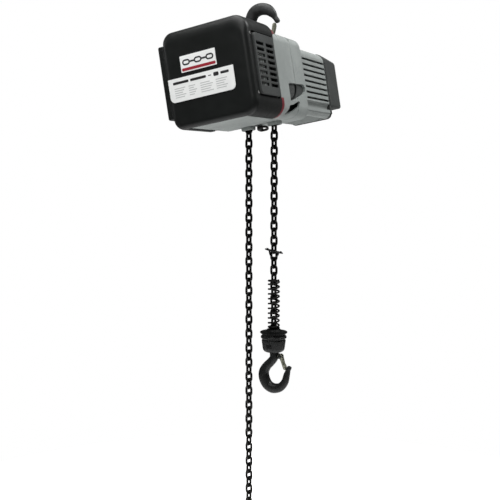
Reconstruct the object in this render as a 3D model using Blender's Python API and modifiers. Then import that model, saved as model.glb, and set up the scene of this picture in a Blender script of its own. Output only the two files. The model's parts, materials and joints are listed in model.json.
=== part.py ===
"""Electric chain hoist, half-ton class, hook suspended, as separate solids.

The object frame is in metres with +Z plumb up.  The origin is the bearing
point of the top hook, where the eye that carries the hoist touches the bowl.
+Y runs along the motor shaft to the rear cover, so the control cover with
its plates faces -Y.  The casing hangs tilted about Y, as an unloaded hoist
does, and both chain falls hang plumb.  Lengths below are in millimetres and
are scaled by MM when a mesh or a location is made.
"""
import math
import bpy
import bmesh
from mathutils import Matrix, Vector

MM = 0.001

# Driving dimensions (mm, degrees).
TILT = 9.55                  # casing tilt about +Y; the load side is high
PITCH = 19.1                 # chain pitch
WIRE = 6.3                   # chain wire diameter
LINK_W = 19.5                # outer link width
POCKETS = 6                  # pockets of the lift wheel
WHEEL = (-36.0, -176.0)      # lift wheel axis in the casing (x, z)
IDLER = (-90.0, -176.0)      # intermediate gear axis in the casing (x, z)
HOOK_BASE = (-9.8, -83.2)    # foot of the top hook's neck in the casing
HOOK_AXIS_X = HOOK_BASE[0]
COVER = (-182.0, 46.0, -215.0, -70.3, -270.0, -41.0)
CASE_X = (-174.0, 38.0)      # wide part of the frame casting
WAIST_X = (-112.0, 38.0)     # narrow part behind the chain falls
CASE_TOP = -52.0
CASE_BOTTOM = -270.0
MOTOR = (-100.0, 26.0, 119.3, 309.7, -250.0, -66.0)
REAR_COVER = (-99.0, 25.0, 310.0, 395.0, -216.0, -76.0)
TRIM_RING = (-181.0, 45.0, -70.0, -66.0, -270.0, -42.0)
COVER_WALL = 3.0
MOTOR_WALL = 6.0
GEAR_WALL = 7.0
SLOT_ROWS = 8                # air slots down each vent panel and motor side
SLOT_PITCH = 15.0            # between a motor side's slots
VENT_PITCH = 13.6            # between a vent panel's slots
VENT_SLOT = (40.0, 7.6)      # length and height of a vent panel's slot
VENT_FIRST = (-184.0, -102.8)    # front end and top of the first vent slot
VENT_STEP = 52.0             # from the front column of vent slots to the rear one
MOTOR_SLOT = (149.0, 304.0, 5.5)     # ends and height of a motor slot
MOTOR_FIRST = -95.0          # top of the first motor slot
# The left panel is a deeper and taller hood than the right one, and is black.
VENT_PANELS = {"right": ("dark_grey", 46.3, 51.5, -190.0, -226.0, -83.0),
               "left": ("black_paint", -197.5, -182.3, -205.0, -241.0, -66.0)}
GUIDE = (15.8, 15.3, -279.0, -257.0)     # half sizes and heights of a chain guide
GUIDE_HOLE = (13.1, 12.5)
GUIDE_X = {"slack": -88.9, "load": -13.9}
HEAT_SINK = (4.0, 34.0, -150.0, -78.5, -218.0, -122.0)
FINS = 8
FIN_THICK = 3.5
STOP_Z = -598.0              # stop plate on the load fall
SPRING_TOP = -670.0
SPRING_BOTTOM = -800.6
BLOCK_TOP = -797.5
BLOCK_BOTTOM = -860.0
SLACK_END = -1284.0 - 2 * PITCH

PITCH_R = PITCH / (2.0 * math.sin(math.pi / (2 * POCKETS)))
COS_T = math.cos(math.radians(TILT))
SIN_T = math.sin(math.radians(TILT))


def casing_to_world(x, z):
    """Casing coordinates in the wheel plane to plumb coordinates."""
    return COS_T * x - SIN_T * z, SIN_T * x + COS_T * z


WHEEL_WORLD = casing_to_world(*WHEEL)
LOAD_X = WHEEL_WORLD[0] + PITCH_R
SLACK_X = WHEEL_WORLD[0] - PITCH_R

for old in list(bpy.data.objects):
    bpy.data.objects.remove(old, do_unlink=True)

PARTS = bpy.data.collections.new("electric_chain_hoist")
CUTTERS = bpy.data.collections.new("cutters")
bpy.context.scene.collection.children.link(PARTS)
bpy.context.scene.collection.children.link(CUTTERS)


def material(name, color, roughness, metallic):
    mat = bpy.data.materials.new(name)
    mat.use_nodes = True
    shader = mat.node_tree.nodes["Principled BSDF"]
    shader.inputs["Base Color"].default_value = (*color, 1.0)
    shader.inputs["Roughness"].default_value = roughness
    shader.inputs["Metallic"].default_value = metallic
    return mat


MAT = {
    "black_paint": material("black_paint", (0.012, 0.013, 0.013), 0.42, 0.0),
    "dark_grey": material("dark_grey", (0.075, 0.08, 0.078), 0.5, 0.0),
    "casting_grey": material("casting_grey", (0.30, 0.32, 0.315), 0.5, 0.15),
    "red_seal": material("red_seal", (0.35, 0.02, 0.03), 0.5, 0.0),
    "white_label": material("white_label", (0.80, 0.80, 0.78), 0.4, 0.0),
    "forged_black": material("forged_black", (0.02, 0.02, 0.02), 0.45, 0.6),
    "chain_black": material("chain_black", (0.018, 0.017, 0.016), 0.4, 0.8),
    "zinc": material("zinc", (0.52, 0.53, 0.48), 0.35, 0.9),
    "steel": material("steel", (0.45, 0.45, 0.44), 0.35, 1.0),
    "copper": material("copper", (0.55, 0.25, 0.12), 0.4, 1.0),
    "aluminium": material("aluminium", (0.62, 0.63, 0.64), 0.45, 1.0),
    "board_green": material("board_green", (0.02, 0.16, 0.07), 0.5, 0.0),
    "black_plastic": material("black_plastic", (0.02, 0.02, 0.02), 0.5, 0.0),
}


def empty(name, loc, tilt=0.0, parent=None):
    obj = bpy.data.objects.new(name, None)
    obj.empty_display_size = 0.03
    PARTS.objects.link(obj)
    obj.location = [c * MM for c in loc]
    obj.rotation_euler = (0.0, -math.radians(tilt), 0.0)
    obj.parent = parent
    return obj


SUSPENSION = empty("suspension_frame", (0, 0, 0), TILT)
CASING = empty("casing_frame", (0, 0, 0), TILT)


def file_object(obj, name, mat, parent, cutter):
    """Name an object, file it in its collection and hang it on its parent."""
    obj.name = name
    obj.data.name = name
    for coll in list(obj.users_collection):
        coll.objects.unlink(obj)
    (CUTTERS if cutter else PARTS).objects.link(obj)
    obj.parent = parent
    obj.data.materials.clear()
    if cutter:
        obj.hide_render = True
        obj.display_type = "WIRE"
    else:
        obj.data.materials.append(MAT[mat])
    return obj


def shade(obj, angle=35.0):
    obj.data.shade_smooth()
    obj.data.set_sharp_from_angle(angle=math.radians(angle))


def from_bmesh(bm, name, loc, mat, parent, cutter=False):
    mesh = bpy.data.meshes.new(name)
    bm.to_mesh(mesh)
    bm.free()
    obj = bpy.data.objects.new(name, mesh)
    CUTTERS.objects.link(obj)
    obj.location = [c * MM for c in loc]
    return file_object(obj, name, mat, parent, cutter)


def add_bevel(obj, width, segments=2, angle=40.0):
    mod = obj.modifiers.new("edges", "BEVEL")
    mod.width = width * MM
    mod.segments = segments
    mod.limit_method = "ANGLE"
    mod.angle_limit = math.radians(angle)
    return mod


def block(name, lo, hi, mat=None, parent=None, bevel=0.0, segs=2, cutter=False):
    """Box between two corners, with its edges rounded."""
    bm = bmesh.new()
    bmesh.ops.create_cube(bm, size=1.0)
    size = [(b - a) * MM for a, b in zip(lo, hi)]
    bmesh.ops.scale(bm, vec=size, verts=bm.verts)
    centre = [(a + b) / 2 for a, b in zip(lo, hi)]
    obj = from_bmesh(bm, name, centre, mat, parent, cutter)
    if bevel:
        add_bevel(obj, bevel, segs)
    return obj


AXIS_TURN = {"X": Matrix.Rotation(math.pi / 2, 4, "Y"),
             "Y": Matrix.Rotation(-math.pi / 2, 4, "X"),
             "Z": Matrix.Identity(4)}


def rod(name, radius, lo, hi, at, axis="Y", sides=24, mat=None, parent=None,
        bevel=0.0, cutter=False):
    """Cylinder from lo to hi along an axis; `at` is its other two coordinates."""
    bm = bmesh.new()
    bmesh.ops.create_cone(bm, cap_ends=True, segments=sides, radius1=radius * MM,
                          radius2=radius * MM, depth=(hi - lo) * MM)
    bmesh.ops.transform(bm, matrix=AXIS_TURN[axis], verts=bm.verts)
    mid = (lo + hi) / 2
    loc = {"X": (mid, at[0], at[1]), "Y": (at[0], mid, at[1]), "Z": (at[0], at[1], mid)}[axis]
    obj = from_bmesh(bm, name, loc, mat, parent, cutter)
    shade(obj)
    if bevel:
        add_bevel(obj, bevel, 2)
    return obj


def turned(name, profile, loc, axis="Z", steps=24, mat=None, parent=None, cutter=False):
    """Turned piece: the profile lists (radius, height) down its outer side."""
    mesh = bpy.data.meshes.new(name)
    closed = profile[0][0] > 0.0 and profile[-1][0] > 0.0
    count = len(profile)
    edges = [(i, i + 1) for i in range(count - 1)]
    if closed:
        edges.append((count - 1, 0))
    mesh.from_pydata([(r * MM, 0.0, h * MM) for r, h in profile], edges, [])
    obj = bpy.data.objects.new(name, mesh)
    CUTTERS.objects.link(obj)
    obj.location = [c * MM for c in loc]
    if axis == "Y":
        obj.rotation_euler = (-math.pi / 2, 0.0, 0.0)
    screw = obj.modifiers.new("turn", "SCREW")
    screw.steps = steps
    screw.render_steps = steps
    screw.use_merge_vertices = True
    screw.merge_threshold = 0.00001
    screw.use_smooth_shade = True
    return file_object(obj, name, mat, parent, cutter)


def ring(name, r_in, r_out, lo, hi, at, axis="Y", steps=24, mat=None, parent=None):
    """Plain ring from lo to hi along an axis."""
    half = (hi - lo) / 2
    mid = (lo + hi) / 2
    loc = (at[0], mid, at[1]) if axis == "Y" else (at[0], at[1], mid)
    profile = [(r_in, half), (r_out, half), (r_out, -half), (r_in, -half)]
    return turned(name, profile, loc, axis, steps, mat, parent)


def outline(name, points, thickness, loc, plane="XZ", mat=None, parent=None, cutter=False):
    """Flat piece from a closed outline, centred on its thickness."""
    curve = bpy.data.curves.new(name, "CURVE")
    curve.dimensions = "2D"
    curve.fill_mode = "BOTH"
    curve.extrude = thickness * MM / 2
    spline = curve.splines.new("POLY")
    spline.points.add(len(points) - 1)
    for point, (u, v) in zip(spline.points, points):
        point.co = (u * MM, v * MM, 0.0, 1.0)
    spline.use_cyclic_u = True
    obj = bpy.data.objects.new(name, curve)
    CUTTERS.objects.link(obj)
    obj.location = [c * MM for c in loc]
    if plane == "XZ":
        obj.rotation_euler = (math.pi / 2, 0.0, 0.0)
    return mesh_from_curve(obj, name, mat, parent, cutter)


def mesh_from_curve(obj, name, mat, parent, cutter=False):
    """Closed mesh from a curve's evaluated surface; the curve is removed."""
    bpy.context.view_layer.update()
    depsgraph = bpy.context.evaluated_depsgraph_get()
    mesh = bpy.data.meshes.new_from_object(obj.evaluated_get(depsgraph))
    bm = bmesh.new()
    bm.from_mesh(mesh)
    bmesh.ops.remove_doubles(bm, verts=bm.verts, dist=0.000002)
    bmesh.ops.recalc_face_normals(bm, faces=bm.faces)
    bm.to_mesh(mesh)
    bm.free()
    made = bpy.data.objects.new(name + "_mesh", mesh)
    CUTTERS.objects.link(made)
    made.matrix_world = obj.matrix_world.copy()
    bpy.data.objects.remove(obj, do_unlink=True)
    return file_object(made, name, mat, parent, cutter)


def tube(name, points, radii, loc, sides=2, cyclic=False, mat=None, parent=None,
         cutter=False, flatten=1.0):
    """Round bar along points, with a radius at each; `flatten` squeezes it in Y."""
    curve = bpy.data.curves.new(name, "CURVE")
    curve.dimensions = "3D"
    curve.bevel_depth = 1.0 * MM
    curve.bevel_resolution = sides
    curve.use_fill_caps = not cyclic
    spline = curve.splines.new("POLY")
    spline.points.add(len(points) - 1)
    for point, co, radius in zip(spline.points, points, radii):
        point.co = (co[0] * MM, co[1] * MM, co[2] * MM, 1.0)
        point.radius = radius
    spline.use_cyclic_u = cyclic
    obj = bpy.data.objects.new(name, curve)
    CUTTERS.objects.link(obj)
    made = mesh_from_curve(obj, name, mat, parent, cutter)
    if flatten != 1.0:
        made.data.transform(Matrix.Diagonal((1.0, flatten, 1.0, 1.0)))
    made.location = [c * MM for c in loc]
    shade(made, 50.0)
    return made


def smooth_path(knots, per_span):
    """Catmull-Rom samples through knots of any width (x, z, radius...)."""
    out = []
    last = len(knots) - 1
    for i in range(last):
        p0 = knots[max(i - 1, 0)]
        p1 = knots[i]
        p2 = knots[i + 1]
        p3 = knots[min(i + 2, last)]
        for k in range(per_span):
            t = k / per_span
            out.append([0.5 * (2 * b + (c - a) * t + (2 * a - 5 * b + 4 * c - d) * t * t
                               + (3 * b - a - 3 * c + d) * t ** 3)
                        for a, b, c, d in zip(p0, p1, p2, p3)])
    out.append(list(knots[-1]))
    return out


def cut(obj, *tools):
    for tool in tools:
        mod = obj.modifiers.new("cut_" + tool.name, "BOOLEAN")
        mod.operation = "DIFFERENCE"
        mod.object = tool
    return obj


def join(obj, *tools):
    for tool in tools:
        mod = obj.modifiers.new("join_" + tool.name, "BOOLEAN")
        mod.operation = "UNION"
        mod.object = tool
    return obj


def cast_prism(name, box, long_r, end_r=0.0, end="front", wall=0.0, mat=None,
               parent=None, cutter=False, segs=4, end_segs=3):
    """Prism along Y with rounded long edges and one rounded end.

    With a wall it becomes a shell that is open at the other end.
    """
    x0, x1, y0, y1, z0, z1 = box
    bm = bmesh.new()
    bmesh.ops.create_cube(bm, size=1.0)
    bmesh.ops.scale(bm, vec=((x1 - x0) * MM, (y1 - y0) * MM, (z1 - z0) * MM), verts=bm.verts)
    side = -1.0 if end == "front" else 1.0
    long_edges = [e for e in bm.edges
                  if abs((e.verts[0].co - e.verts[1].co).normalized().y) > 0.9]
    bmesh.ops.bevel(bm, geom=long_edges, offset=long_r * MM, segments=segs, profile=0.5,
                    affect="EDGES")
    if end_r:
        rim = [e for e in bm.edges if all(v.co.y * side > (y1 - y0) * MM * 0.49 for v in e.verts)]
        bmesh.ops.bevel(bm, geom=rim, offset=end_r * MM, segments=end_segs, profile=0.5,
                        affect="EDGES")
    if wall:
        gone = [f for f in bm.faces if f.normal.y * side < -0.9]
        bmesh.ops.delete(bm, geom=gone, context="FACES")
    centre = ((x0 + x1) / 2, (y0 + y1) / 2, (z0 + z1) / 2)
    obj = from_bmesh(bm, name, centre, mat, parent, cutter)
    if wall:
        solid = obj.modifiers.new("wall", "SOLIDIFY")
        solid.thickness = wall * MM
        solid.offset = -1.0
        solid.use_even_offset = True
    shade(obj, 30.0)
    return obj


# ---------------------------------------------------------------- hooks

# Knots along a hook, in its own plane: x, z and the bar's radius.
HOOK_KNOTS = [(0.0, 6.0, 10.3), (1.0, -15.6, 11.0), (-6.4, -26.0, 10.6), (-21.0, -41.6, 11.0),
              (-29.0, -57.0, 12.0), (-27.5, -73.0, 12.5), (-17.5, -88.0, 12.4),
              (-1.0, -95.0, 11.6), (18.0, -90.5, 9.8), (31.0, -76.0, 8.4), (36.5, -57.0, 7.4),
              (41.0, -44.5, 6.2), (45.5, -38.0, 5.4)]
TOP_HOOK_KNOTS = [(0.0, 6.0, 10.3), (1.0, -15.6, 11.0), (-6.4, -26.0, 10.6),
                  (-21.0, -41.6, 11.0), (-29.5, -57.0, 12.6), (-28.5, -74.0, 14.0),
                  (-16.0, -92.5, 14.6), (3.0, -98.2, 14.6), (22.5, -92.0, 13.2),
                  (34.0, -80.0, 9.6), (40.2, -67.6, 6.0), (45.0, -55.5, 5.8)]
HOOK_FLAT = 0.86                 # thickness across a hook over its height
LATCH_PIVOT = (20.0, -10.5)      # latch pin in the hook's own plane
LATCH_TIP = (31.6, -42.5)        # bottom latch's nose, just inside the hook's point
TOP_LATCH_TIP = (35.8, -52.8)    # top latch's nose
PIN_HOLE_R = 2.3


def forged_hook(name, knots, base, up, shank_top, parent):
    """Forged hook with its neck at base; up is -1 for the inverted one."""
    path = smooth_path(knots, 2)
    points = [(p[0], 0.0, p[1] * up) for p in path]
    hook = tube(name, points, [p[2] for p in path], base, 2, False, "forged_black", parent,
                False, HOOK_FLAT)
    lug_z = LATCH_PIVOT[1] * up
    lug = outline(name + "_lug", [(4.0, lug_z + 9.0), (15.0, lug_z + 7.0), (25.0, lug_z + 4.0),
                                  (26.5, lug_z - 3.0), (21.0, lug_z - 7.0), (4.0, lug_z - 10.0)],
                  7.0, base, "XZ", None, parent, True)
    pin_hole = rod(name + "_pin_hole", PIN_HOLE_R, -20.0, 20.0,
                   (base[0] + LATCH_PIVOT[0], base[2] + lug_z), "Y", 12, None, parent, 0, True)
    lo, hi = sorted((4.0 * up + base[2], shank_top + base[2]))
    shank = rod(name + "_shank", 10.0, lo, hi, (base[0], base[1]), "Z", 16, None, parent, 0, True)
    return cut(join(hook, lug, shank), pin_hole)


def hook_latch(name, tip, base, up, parent):
    """Pressed latch: two cheeks beside the lug and a tongue to the point."""
    px, pz = LATCH_PIVOT
    tx, tz = tip
    cheek = [(px - 5.5, pz + 3.0), (px - 1.0, pz + 5.5), (px + 4.5, pz + 3.5), (px + 7.0, pz - 5.0),
             (px + 8.8, pz - 22.0), (tx + 1.0, tz - 0.5), (tx - 3.0, tz - 2.0),
             (px - 1.5, pz - 12.0)]
    side = outline(name, [(u, v * up) for u, v in cheek], 11.8, base, "XZ", "zinc", parent)
    slot = block(name + "_slot", (base[0] - 4.0, -4.3, min(base[2] + (pz + 14) * up,
                                                           base[2] + (pz - 27) * up)),
                 (base[0] + 60.0, 4.3, max(base[2] + (pz + 14) * up, base[2] + (pz - 27) * up)),
                 None, parent, 0, 2, True)
    hole = rod(name + "_hole", PIN_HOLE_R, -20.0, 20.0, (base[0] + px, base[2] + pz * up), "Y", 12,
               None, parent, 0, True)
    return cut(side, slot, hole)


top_base = (HOOK_BASE[0], 0.0, HOOK_BASE[1])
forged_hook("top_hook", TOP_HOOK_KNOTS, top_base, -1, -31.0, SUSPENSION)
top_pivot = (HOOK_BASE[0] + LATCH_PIVOT[0], 0.0, HOOK_BASE[1] - LATCH_PIVOT[1])
TOP_LATCH_FRAME = empty("top_latch_frame", top_pivot, 0.0, SUSPENSION)
hook_latch("top_latch", TOP_LATCH_TIP, (-LATCH_PIVOT[0], 0.0, LATCH_PIVOT[1]), -1, TOP_LATCH_FRAME)
rod("top_latch_pin", 2.0, -7.6, 7.6, (top_pivot[0], top_pivot[2]), "Y", 12, "steel", SUSPENSION)
ring("top_thrust_bearing", 10.4, 18.0, -102.2, -98.3, (HOOK_AXIS_X, 0), "Z", 20, "steel",
     SUSPENSION)
nut = rod("top_hook_nut", 15.5, -112.5, -102.5, (HOOK_AXIS_X, 0), "Z", 6, "steel", SUSPENSION)
cut(nut, rod("top_nut_bore", 10.3, -140, -100, (HOOK_AXIS_X, 0), "Z", 16, None, SUSPENSION,
             0, True))

# ---------------------------------------------------------------- casing

wx, wz = WHEEL
ix, iz = IDLER

front = cast_prism("front_cover", COVER, 36.0, 15.0, "front", COVER_WALL, "black_paint", CASING,
                   segs=6, end_segs=4)
cut(front, block("cover_floor_cut", (-148, -204, -280), (12, -60, -262), None, CASING, 0, 2, True))

for tag, (paint, x0, x1, y_front, z_low, z_high) in VENT_PANELS.items():
    panel = block("vent_panel_" + tag, (x0, y_front, z_low), (x1, -84, z_high), paint, CASING)
    for col in range(2):
        for row in range(SLOT_ROWS):
            y0 = VENT_FIRST[0] + VENT_STEP * col
            z1 = VENT_FIRST[1] - VENT_PITCH * row
            cut(panel, block("vent_slot_%s_%d_%d" % (tag, col, row), (x0 - 9, y0, z1 - VENT_SLOT[1]),
                             (x1 + 9, y0 + VENT_SLOT[0], z1), None, CASING, 0, 2, True))

ring_out = cast_prism("trim_ring", TRIM_RING, 36.0, 0, "front", 0, "red_seal", CASING, segs=6)
cut(ring_out, cast_prism("trim_ring_bore", (-168, 32, -80, -50, -258, -58), 28.0, 0, "front", 0,
                         None, CASING, True, segs=3),
    block("trim_ring_floor", (-148.2, -80, -280), (12.2, -50, -250), None, CASING, 0, 2, True))

case = cast_prism("gear_case", (CASE_X[0], CASE_X[1], -65.7, 6, CASE_BOTTOM, CASE_TOP), 30.0, 0,
                  "front", 0, "casting_grey", CASING)
waist = cast_prism("gear_case_waist", (WAIST_X[0], WAIST_X[1], -20, 50, CASE_BOTTOM + 6, CASE_TOP),
                   28.0, 0, "front", 0, None, CASING, True)
tongue = block("gear_case_tongue", (-147.7, -203.7, CASE_BOTTOM), (11.7, -50, CASE_BOTTOM + 5),
               None, CASING, 0, 2, True)
join(case, waist, tongue)
cut(case,
    cast_prism("case_cavity", (-166, 30, -59.7, -1, -262, -98), 22.0, 0, "front", 0, None, CASING,
               True, segs=3),
    cast_prism("waist_cavity", (-104, 30, -15, 60, -262, -98), 22.0, 0, "front", 0, None, CASING,
               True, segs=3),
    rod("hook_pocket", 31.0, -84, -30, (HOOK_AXIS_X, 0), "Z", 28, None, CASING, 0, True),
    rod("hook_bore", 11.4, -110, -70, (HOOK_AXIS_X, 0), "Z", 20, None, CASING, 0, True),
    block("load_hole", (-30.6, -16.8, -290), (4.0, 16.8, -240), None, CASING, 0, 2, True),
    block("slack_hole", (-105.6, -16.8, -290), (-71.0, 16.8, -240), None, CASING, 0, 2, True))

cover2 = cast_prism("gear_cover", (WAIST_X[0], WAIST_X[1], 50.3, 119, CASE_BOTTOM + 6, CASE_TOP),
                    28.0, 0, "front", GEAR_WALL, "casting_grey", CASING)
cut(cover2, rod("gear_cover_bore", 30.3, 40, 80, WHEEL, "Y", 24, None, CASING, 0, True))

motor = cast_prism("motor_housing", MOTOR, 26.0, 0, "front", MOTOR_WALL, "casting_grey", CASING)
cut(motor, rod("motor_bore", 17.3, 100, 140, WHEEL, "Y", 20, None, CASING, 0, True))
for side, x0, x1 in (("right", 10, 40), ("left", -115, -85)):
    for row in range(SLOT_ROWS):
        z1 = MOTOR_FIRST - SLOT_PITCH * row
        cut(motor, block("motor_slot_%s_%d" % (side, row), (x0, MOTOR_SLOT[0], z1 - MOTOR_SLOT[2]),
                         (x1, MOTOR_SLOT[1], z1), None, CASING, 0, 2, True))

tail = cast_prism("rear_cover", REAR_COVER, 12.0, 6.0, "rear", COVER_WALL, "dark_grey", CASING,
                  segs=3, end_segs=2)
flange = block("rear_flange", (-78, 310, -247), (4, 317, -200), None, CASING, 0, 2, True)
flange_cut = block("rear_flange_cut", (-70, 300, -213), (-4, 320, -190), None, CASING, 0, 2, True)
cut(join(tail, flange), flange_cut)

block("logo_plate", (-137, -216.6, -141), (-41, -215.3, -102), "white_label", CASING)
plate = [(-88.5, 28.0), (88.5, 28.0), (88.5, -10.0), (84.0, -21.0), (74.0, -28.0),
         (-74.0, -28.0), (-84.0, -21.0), (-88.5, -10.0)]
outline("data_plate", plate, 1.3, (-89.0, -215.95, -178.5), "XZ", "white_label", CASING)

for tag, x_mid in GUIDE_X.items():
    guide = block(tag + "_chain_guide", (x_mid - GUIDE[0], -GUIDE[1], GUIDE[2]),
                  (x_mid + GUIDE[0], GUIDE[1], GUIDE[3]), "casting_grey", CASING)
    cut(guide, block(tag + "_guide_hole", (x_mid - GUIDE_HOLE[0], -GUIDE_HOLE[1], -290),
                     (x_mid + GUIDE_HOLE[0], GUIDE_HOLE[1], -240), None, CASING, 0, 2, True))

carrier = block("bearing_carrier", (-103.7, -34, -236), (29.7, -22.3, -131), "casting_grey", CASING)
cut(carrier, rod("carrier_bore", 26.3, -60, 0, WHEEL, "Y", 24, None, CASING, 0, True),
    rod("carrier_idler_bore", 12.3, -60, 0, IDLER, "Y", 20, None, CASING, 0, True))
ring("wheel_bearing_front", 18.0, 26.0, -33.5, -22.8, WHEEL, "Y", 20, "steel", CASING)
ring("wheel_bearing_rear", 18.0, 30.0, 47.0, 57.0, WHEEL, "Y", 20, "steel", CASING)
ring("motor_bearing_front", 8.3, 17.0, 119.6, 129.0, WHEEL, "Y", 18, "steel", CASING)

shield = block("motor_end_shield", (-89, 293, -228), (15, 301, -86), "casting_grey", CASING)
cut(shield, rod("shield_bore", 17.3, 280, 320, WHEEL, "Y", 20, None, CASING, 0, True))
ring("motor_bearing_rear", 8.3, 17.0, 291.5, 302.0, WHEEL, "Y", 18, "steel", CASING)
ring("stator", 35.5, 55.0, 155, 265, WHEEL, "Y", 24, "copper", CASING)
ring("brake_coil", 16.0, 34.0, 318, 338, WHEEL, "Y", 24, "steel", CASING)

# ------------------------------------------------------- controls in the cover

sink_x0, sink_x1, sink_y0, sink_y1, sink_z0, sink_z1 = HEAT_SINK
fin_step = (sink_y1 - sink_y0 - FIN_THICK) / (FINS - 1)
web = 6.0
fins = [(0.0, sink_y0), (0.0, sink_y1)]
for fin in range(FINS):
    v = sink_y1 - fin_step * fin
    fins += [(sink_x1 - sink_x0, v), (sink_x1 - sink_x0, v - FIN_THICK)]
    if fin < FINS - 1:
        fins += [(web, v - FIN_THICK), (web, v - fin_step)]
outline("heat_sink", fins, sink_z1 - sink_z0, (sink_x0, 0.0, (sink_z0 + sink_z1) / 2), "XY",
        "aluminium", CASING)
block("inverter_board", (-150, -116, -215), (2, -113, -80), "board_green", CASING)
block("contactor", (-146, -160, -200), (-96, -117, -140), "black_plastic", CASING, 2.0)
for tag, z in (("power", -150.0), ("pendant", -200.0)):
    gland = turned(tag + "_gland", [(6.5, 11), (9.0, 11), (12.5, 4), (12.5, -4), (16.0, -4),
                                    (16.0, -8.0), (6.5, -8.0)], (CASE_X[0] - 9.0, -30.0, z),
                   "Z", 12, "black_plastic", CASING)
    gland.rotation_euler = (0.0, -math.pi / 2, 0.0)

block("limit_switch", (6, -14, -244), (26, 14, -230), "black_plastic", CASING, 1.0)
LEVER_FRAME = empty("limit_lever_frame", (14.0, 0.0, -250.0), 0.0, CASING)
lever = block("limit_lever", (-47.0, -15.0, -1.5), (4.0, 15.0, 1.5), "steel", LEVER_FRAME)
cut(lever, block("limit_lever_slot", (-40.5, -11.3, -5.0), (-10.0, 11.3, 5.0), None, LEVER_FRAME,
                 0, 2, True))

# ---------------------------------------------------------------- drive train

LIFT_FRAME = empty("lift_wheel_frame", (wx, 0.0, wz), 0.0, CASING)
wheel_profile = [(9.0, 46.7), (17.7, 46.7), (17.7, 15.0), (41.0, 15.0), (41.0, 12.2), (29.4, 12.2),
                 (29.4, 5.2), (22.8, 5.2), (22.8, -5.2), (29.4, -5.2), (29.4, -12.2),
                 (41.0, -12.2), (41.0, -15.0), (17.7, -15.0), (17.7, -36.0), (9.0, -36.0)]
turned("lift_wheel", wheel_profile, (0, 0, 0), "Y", 20, "steel", LIFT_FRAME)


def gear_outline(teeth, root, tip):
    points = []
    for i in range(teeth):
        for frac, radius in ((0.0, root), (0.25, tip), (0.5, tip), (0.75, root)):
            a = 2 * math.pi * (i + frac) / teeth
            points.append((radius * math.cos(a), radius * math.sin(a)))
    return points


def gear(name, teeth, root, tip, lo, hi, bore, parent):
    obj = outline(name, gear_outline(teeth, root, tip), hi - lo, (0, (lo + hi) / 2, 0), "XZ",
                  "steel", parent)
    tool = rod(name + "_bore", bore, lo - 5, hi + 5, (0, 0), "Y", 16, None, parent, 0, True)
    return cut(obj, tool)


gear("output_gear", 24, 38.5, 42.5, -47.0, -36.3, 9.0, LIFT_FRAME)
IDLER_FRAME = empty("idler_frame", (ix, 0.0, iz), 0.0, CASING)
idler = outline("idler_gear", gear_outline(24, 41.0, 45.0), 9.5, (0, -53.75, 0), "XZ", "steel",
                IDLER_FRAME)
join(idler, turned("idler_shaft", [(0.0, -21.0), (5.0, -21.0), (5.0, -36.0), (10.5, -36.0),
                                   (10.5, -50.0), (5.0, -50.0), (5.0, -55.0), (0.0, -55.0)],
                   (0, 0, 0), "Y", 16, None, IDLER_FRAME, True))

ROTOR_FRAME = empty("rotor_frame", (wx, 0.0, wz), 0.0, CASING)
turned("rotor", [(0.0, 372.0), (6.5, 372.0), (6.5, 304.0), (8.0, 304.0), (8.0, 262.0),
                 (34.7, 262.0), (34.7, 158.0), (8.0, 158.0), (8.0, 112.0), (6.5, 112.0),
                 (6.5, -59.0), (0.0, -59.0)],
       (0, 0, 0), "Y", 20, "steel", ROTOR_FRAME)
gear("motor_pinion", 9, 8.0, 8.7, -58.5, -49.0, 6.8, ROTOR_FRAME)
ring("brake_disc", 6.8, 32.0, 348.0, 354.0, (0, 0), "Y", 20, "steel", ROTOR_FRAME)
bpy.data.objects["brake_disc"].location = (0.0, 351.0 * MM, 0.0)
fan_points = []
for blade in range(8):
    for frac, radius in ((0.0, 14.0), (0.12, 33.0), (0.45, 33.0), (0.57, 14.0)):
        a = 2 * math.pi * (blade + frac) / 8
        fan_points.append((radius * math.cos(a), radius * math.sin(a)))
fan = outline("cooling_fan", fan_points, 12.0, (0, 364.5, 0), "XZ", "black_plastic", ROTOR_FRAME)
cut(fan, rod("fan_bore", 6.8, 340, 390, (0, 0), "Y", 16, None, ROTOR_FRAME, 0, True))
ring("brake_armature", 12.0, 34.0, 341.2, 347.7, WHEEL, "Y", 20, "steel", CASING)

# ---------------------------------------------------------------- chain


def link_mesh():
    """One link with its wire as a square bar on a four-cornered loop."""
    half_w = (LINK_W - WIRE) / 2
    top = PITCH / 2 + WIRE / 2
    pts = [(half_w, 0, top), (-half_w, 0, top), (-half_w, 0, -top), (half_w, 0, -top)]
    obj = tube("link", pts, [WIRE / 2 * 1.45] * 4, (0, 0, 0), 0, True, None, None, True)
    mesh = obj.data.copy()
    bpy.data.objects.remove(obj, do_unlink=True)
    return mesh


LINK = link_mesh()


def chain_object(name, placements, loc, parent, mat="chain_black"):
    """One body from links given as (x, z, angle in the wheel plane, standing)."""
    sets = [bmesh.new(), bmesh.new()]
    for index, (x, z, angle, standing) in enumerate(placements):
        turn = Matrix.Rotation(math.pi / 2, 4, "Z") if not standing else Matrix.Identity(4)
        place = Matrix.Translation((x * MM, 0, z * MM)) @ Matrix.Rotation(angle, 4, "Y") @ turn
        copy = LINK.copy()
        copy.transform(place)
        sets[index % 2].from_mesh(copy)
        bpy.data.meshes.remove(copy)
    base = from_bmesh(sets[0], name, loc, mat, parent)
    if len(placements) > 1:
        other = from_bmesh(sets[1], name + "_alternate", loc, None, parent, True)
        join(base, other)
    else:
        sets[1].free()
    return base


def straight_run(name, x, first, count, parent=None):
    """Run of links down from index first; index 0 is the first one off the wheel."""
    places = []
    for k in range(first, first + count):
        z = WHEEL_WORLD[1] - PITCH * (k + 0.5)
        places.append((0.0, z, 0.0, k % 2 == 0))
    obj = chain_object(name, places, (x, 0, 0), parent)
    return obj


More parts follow.
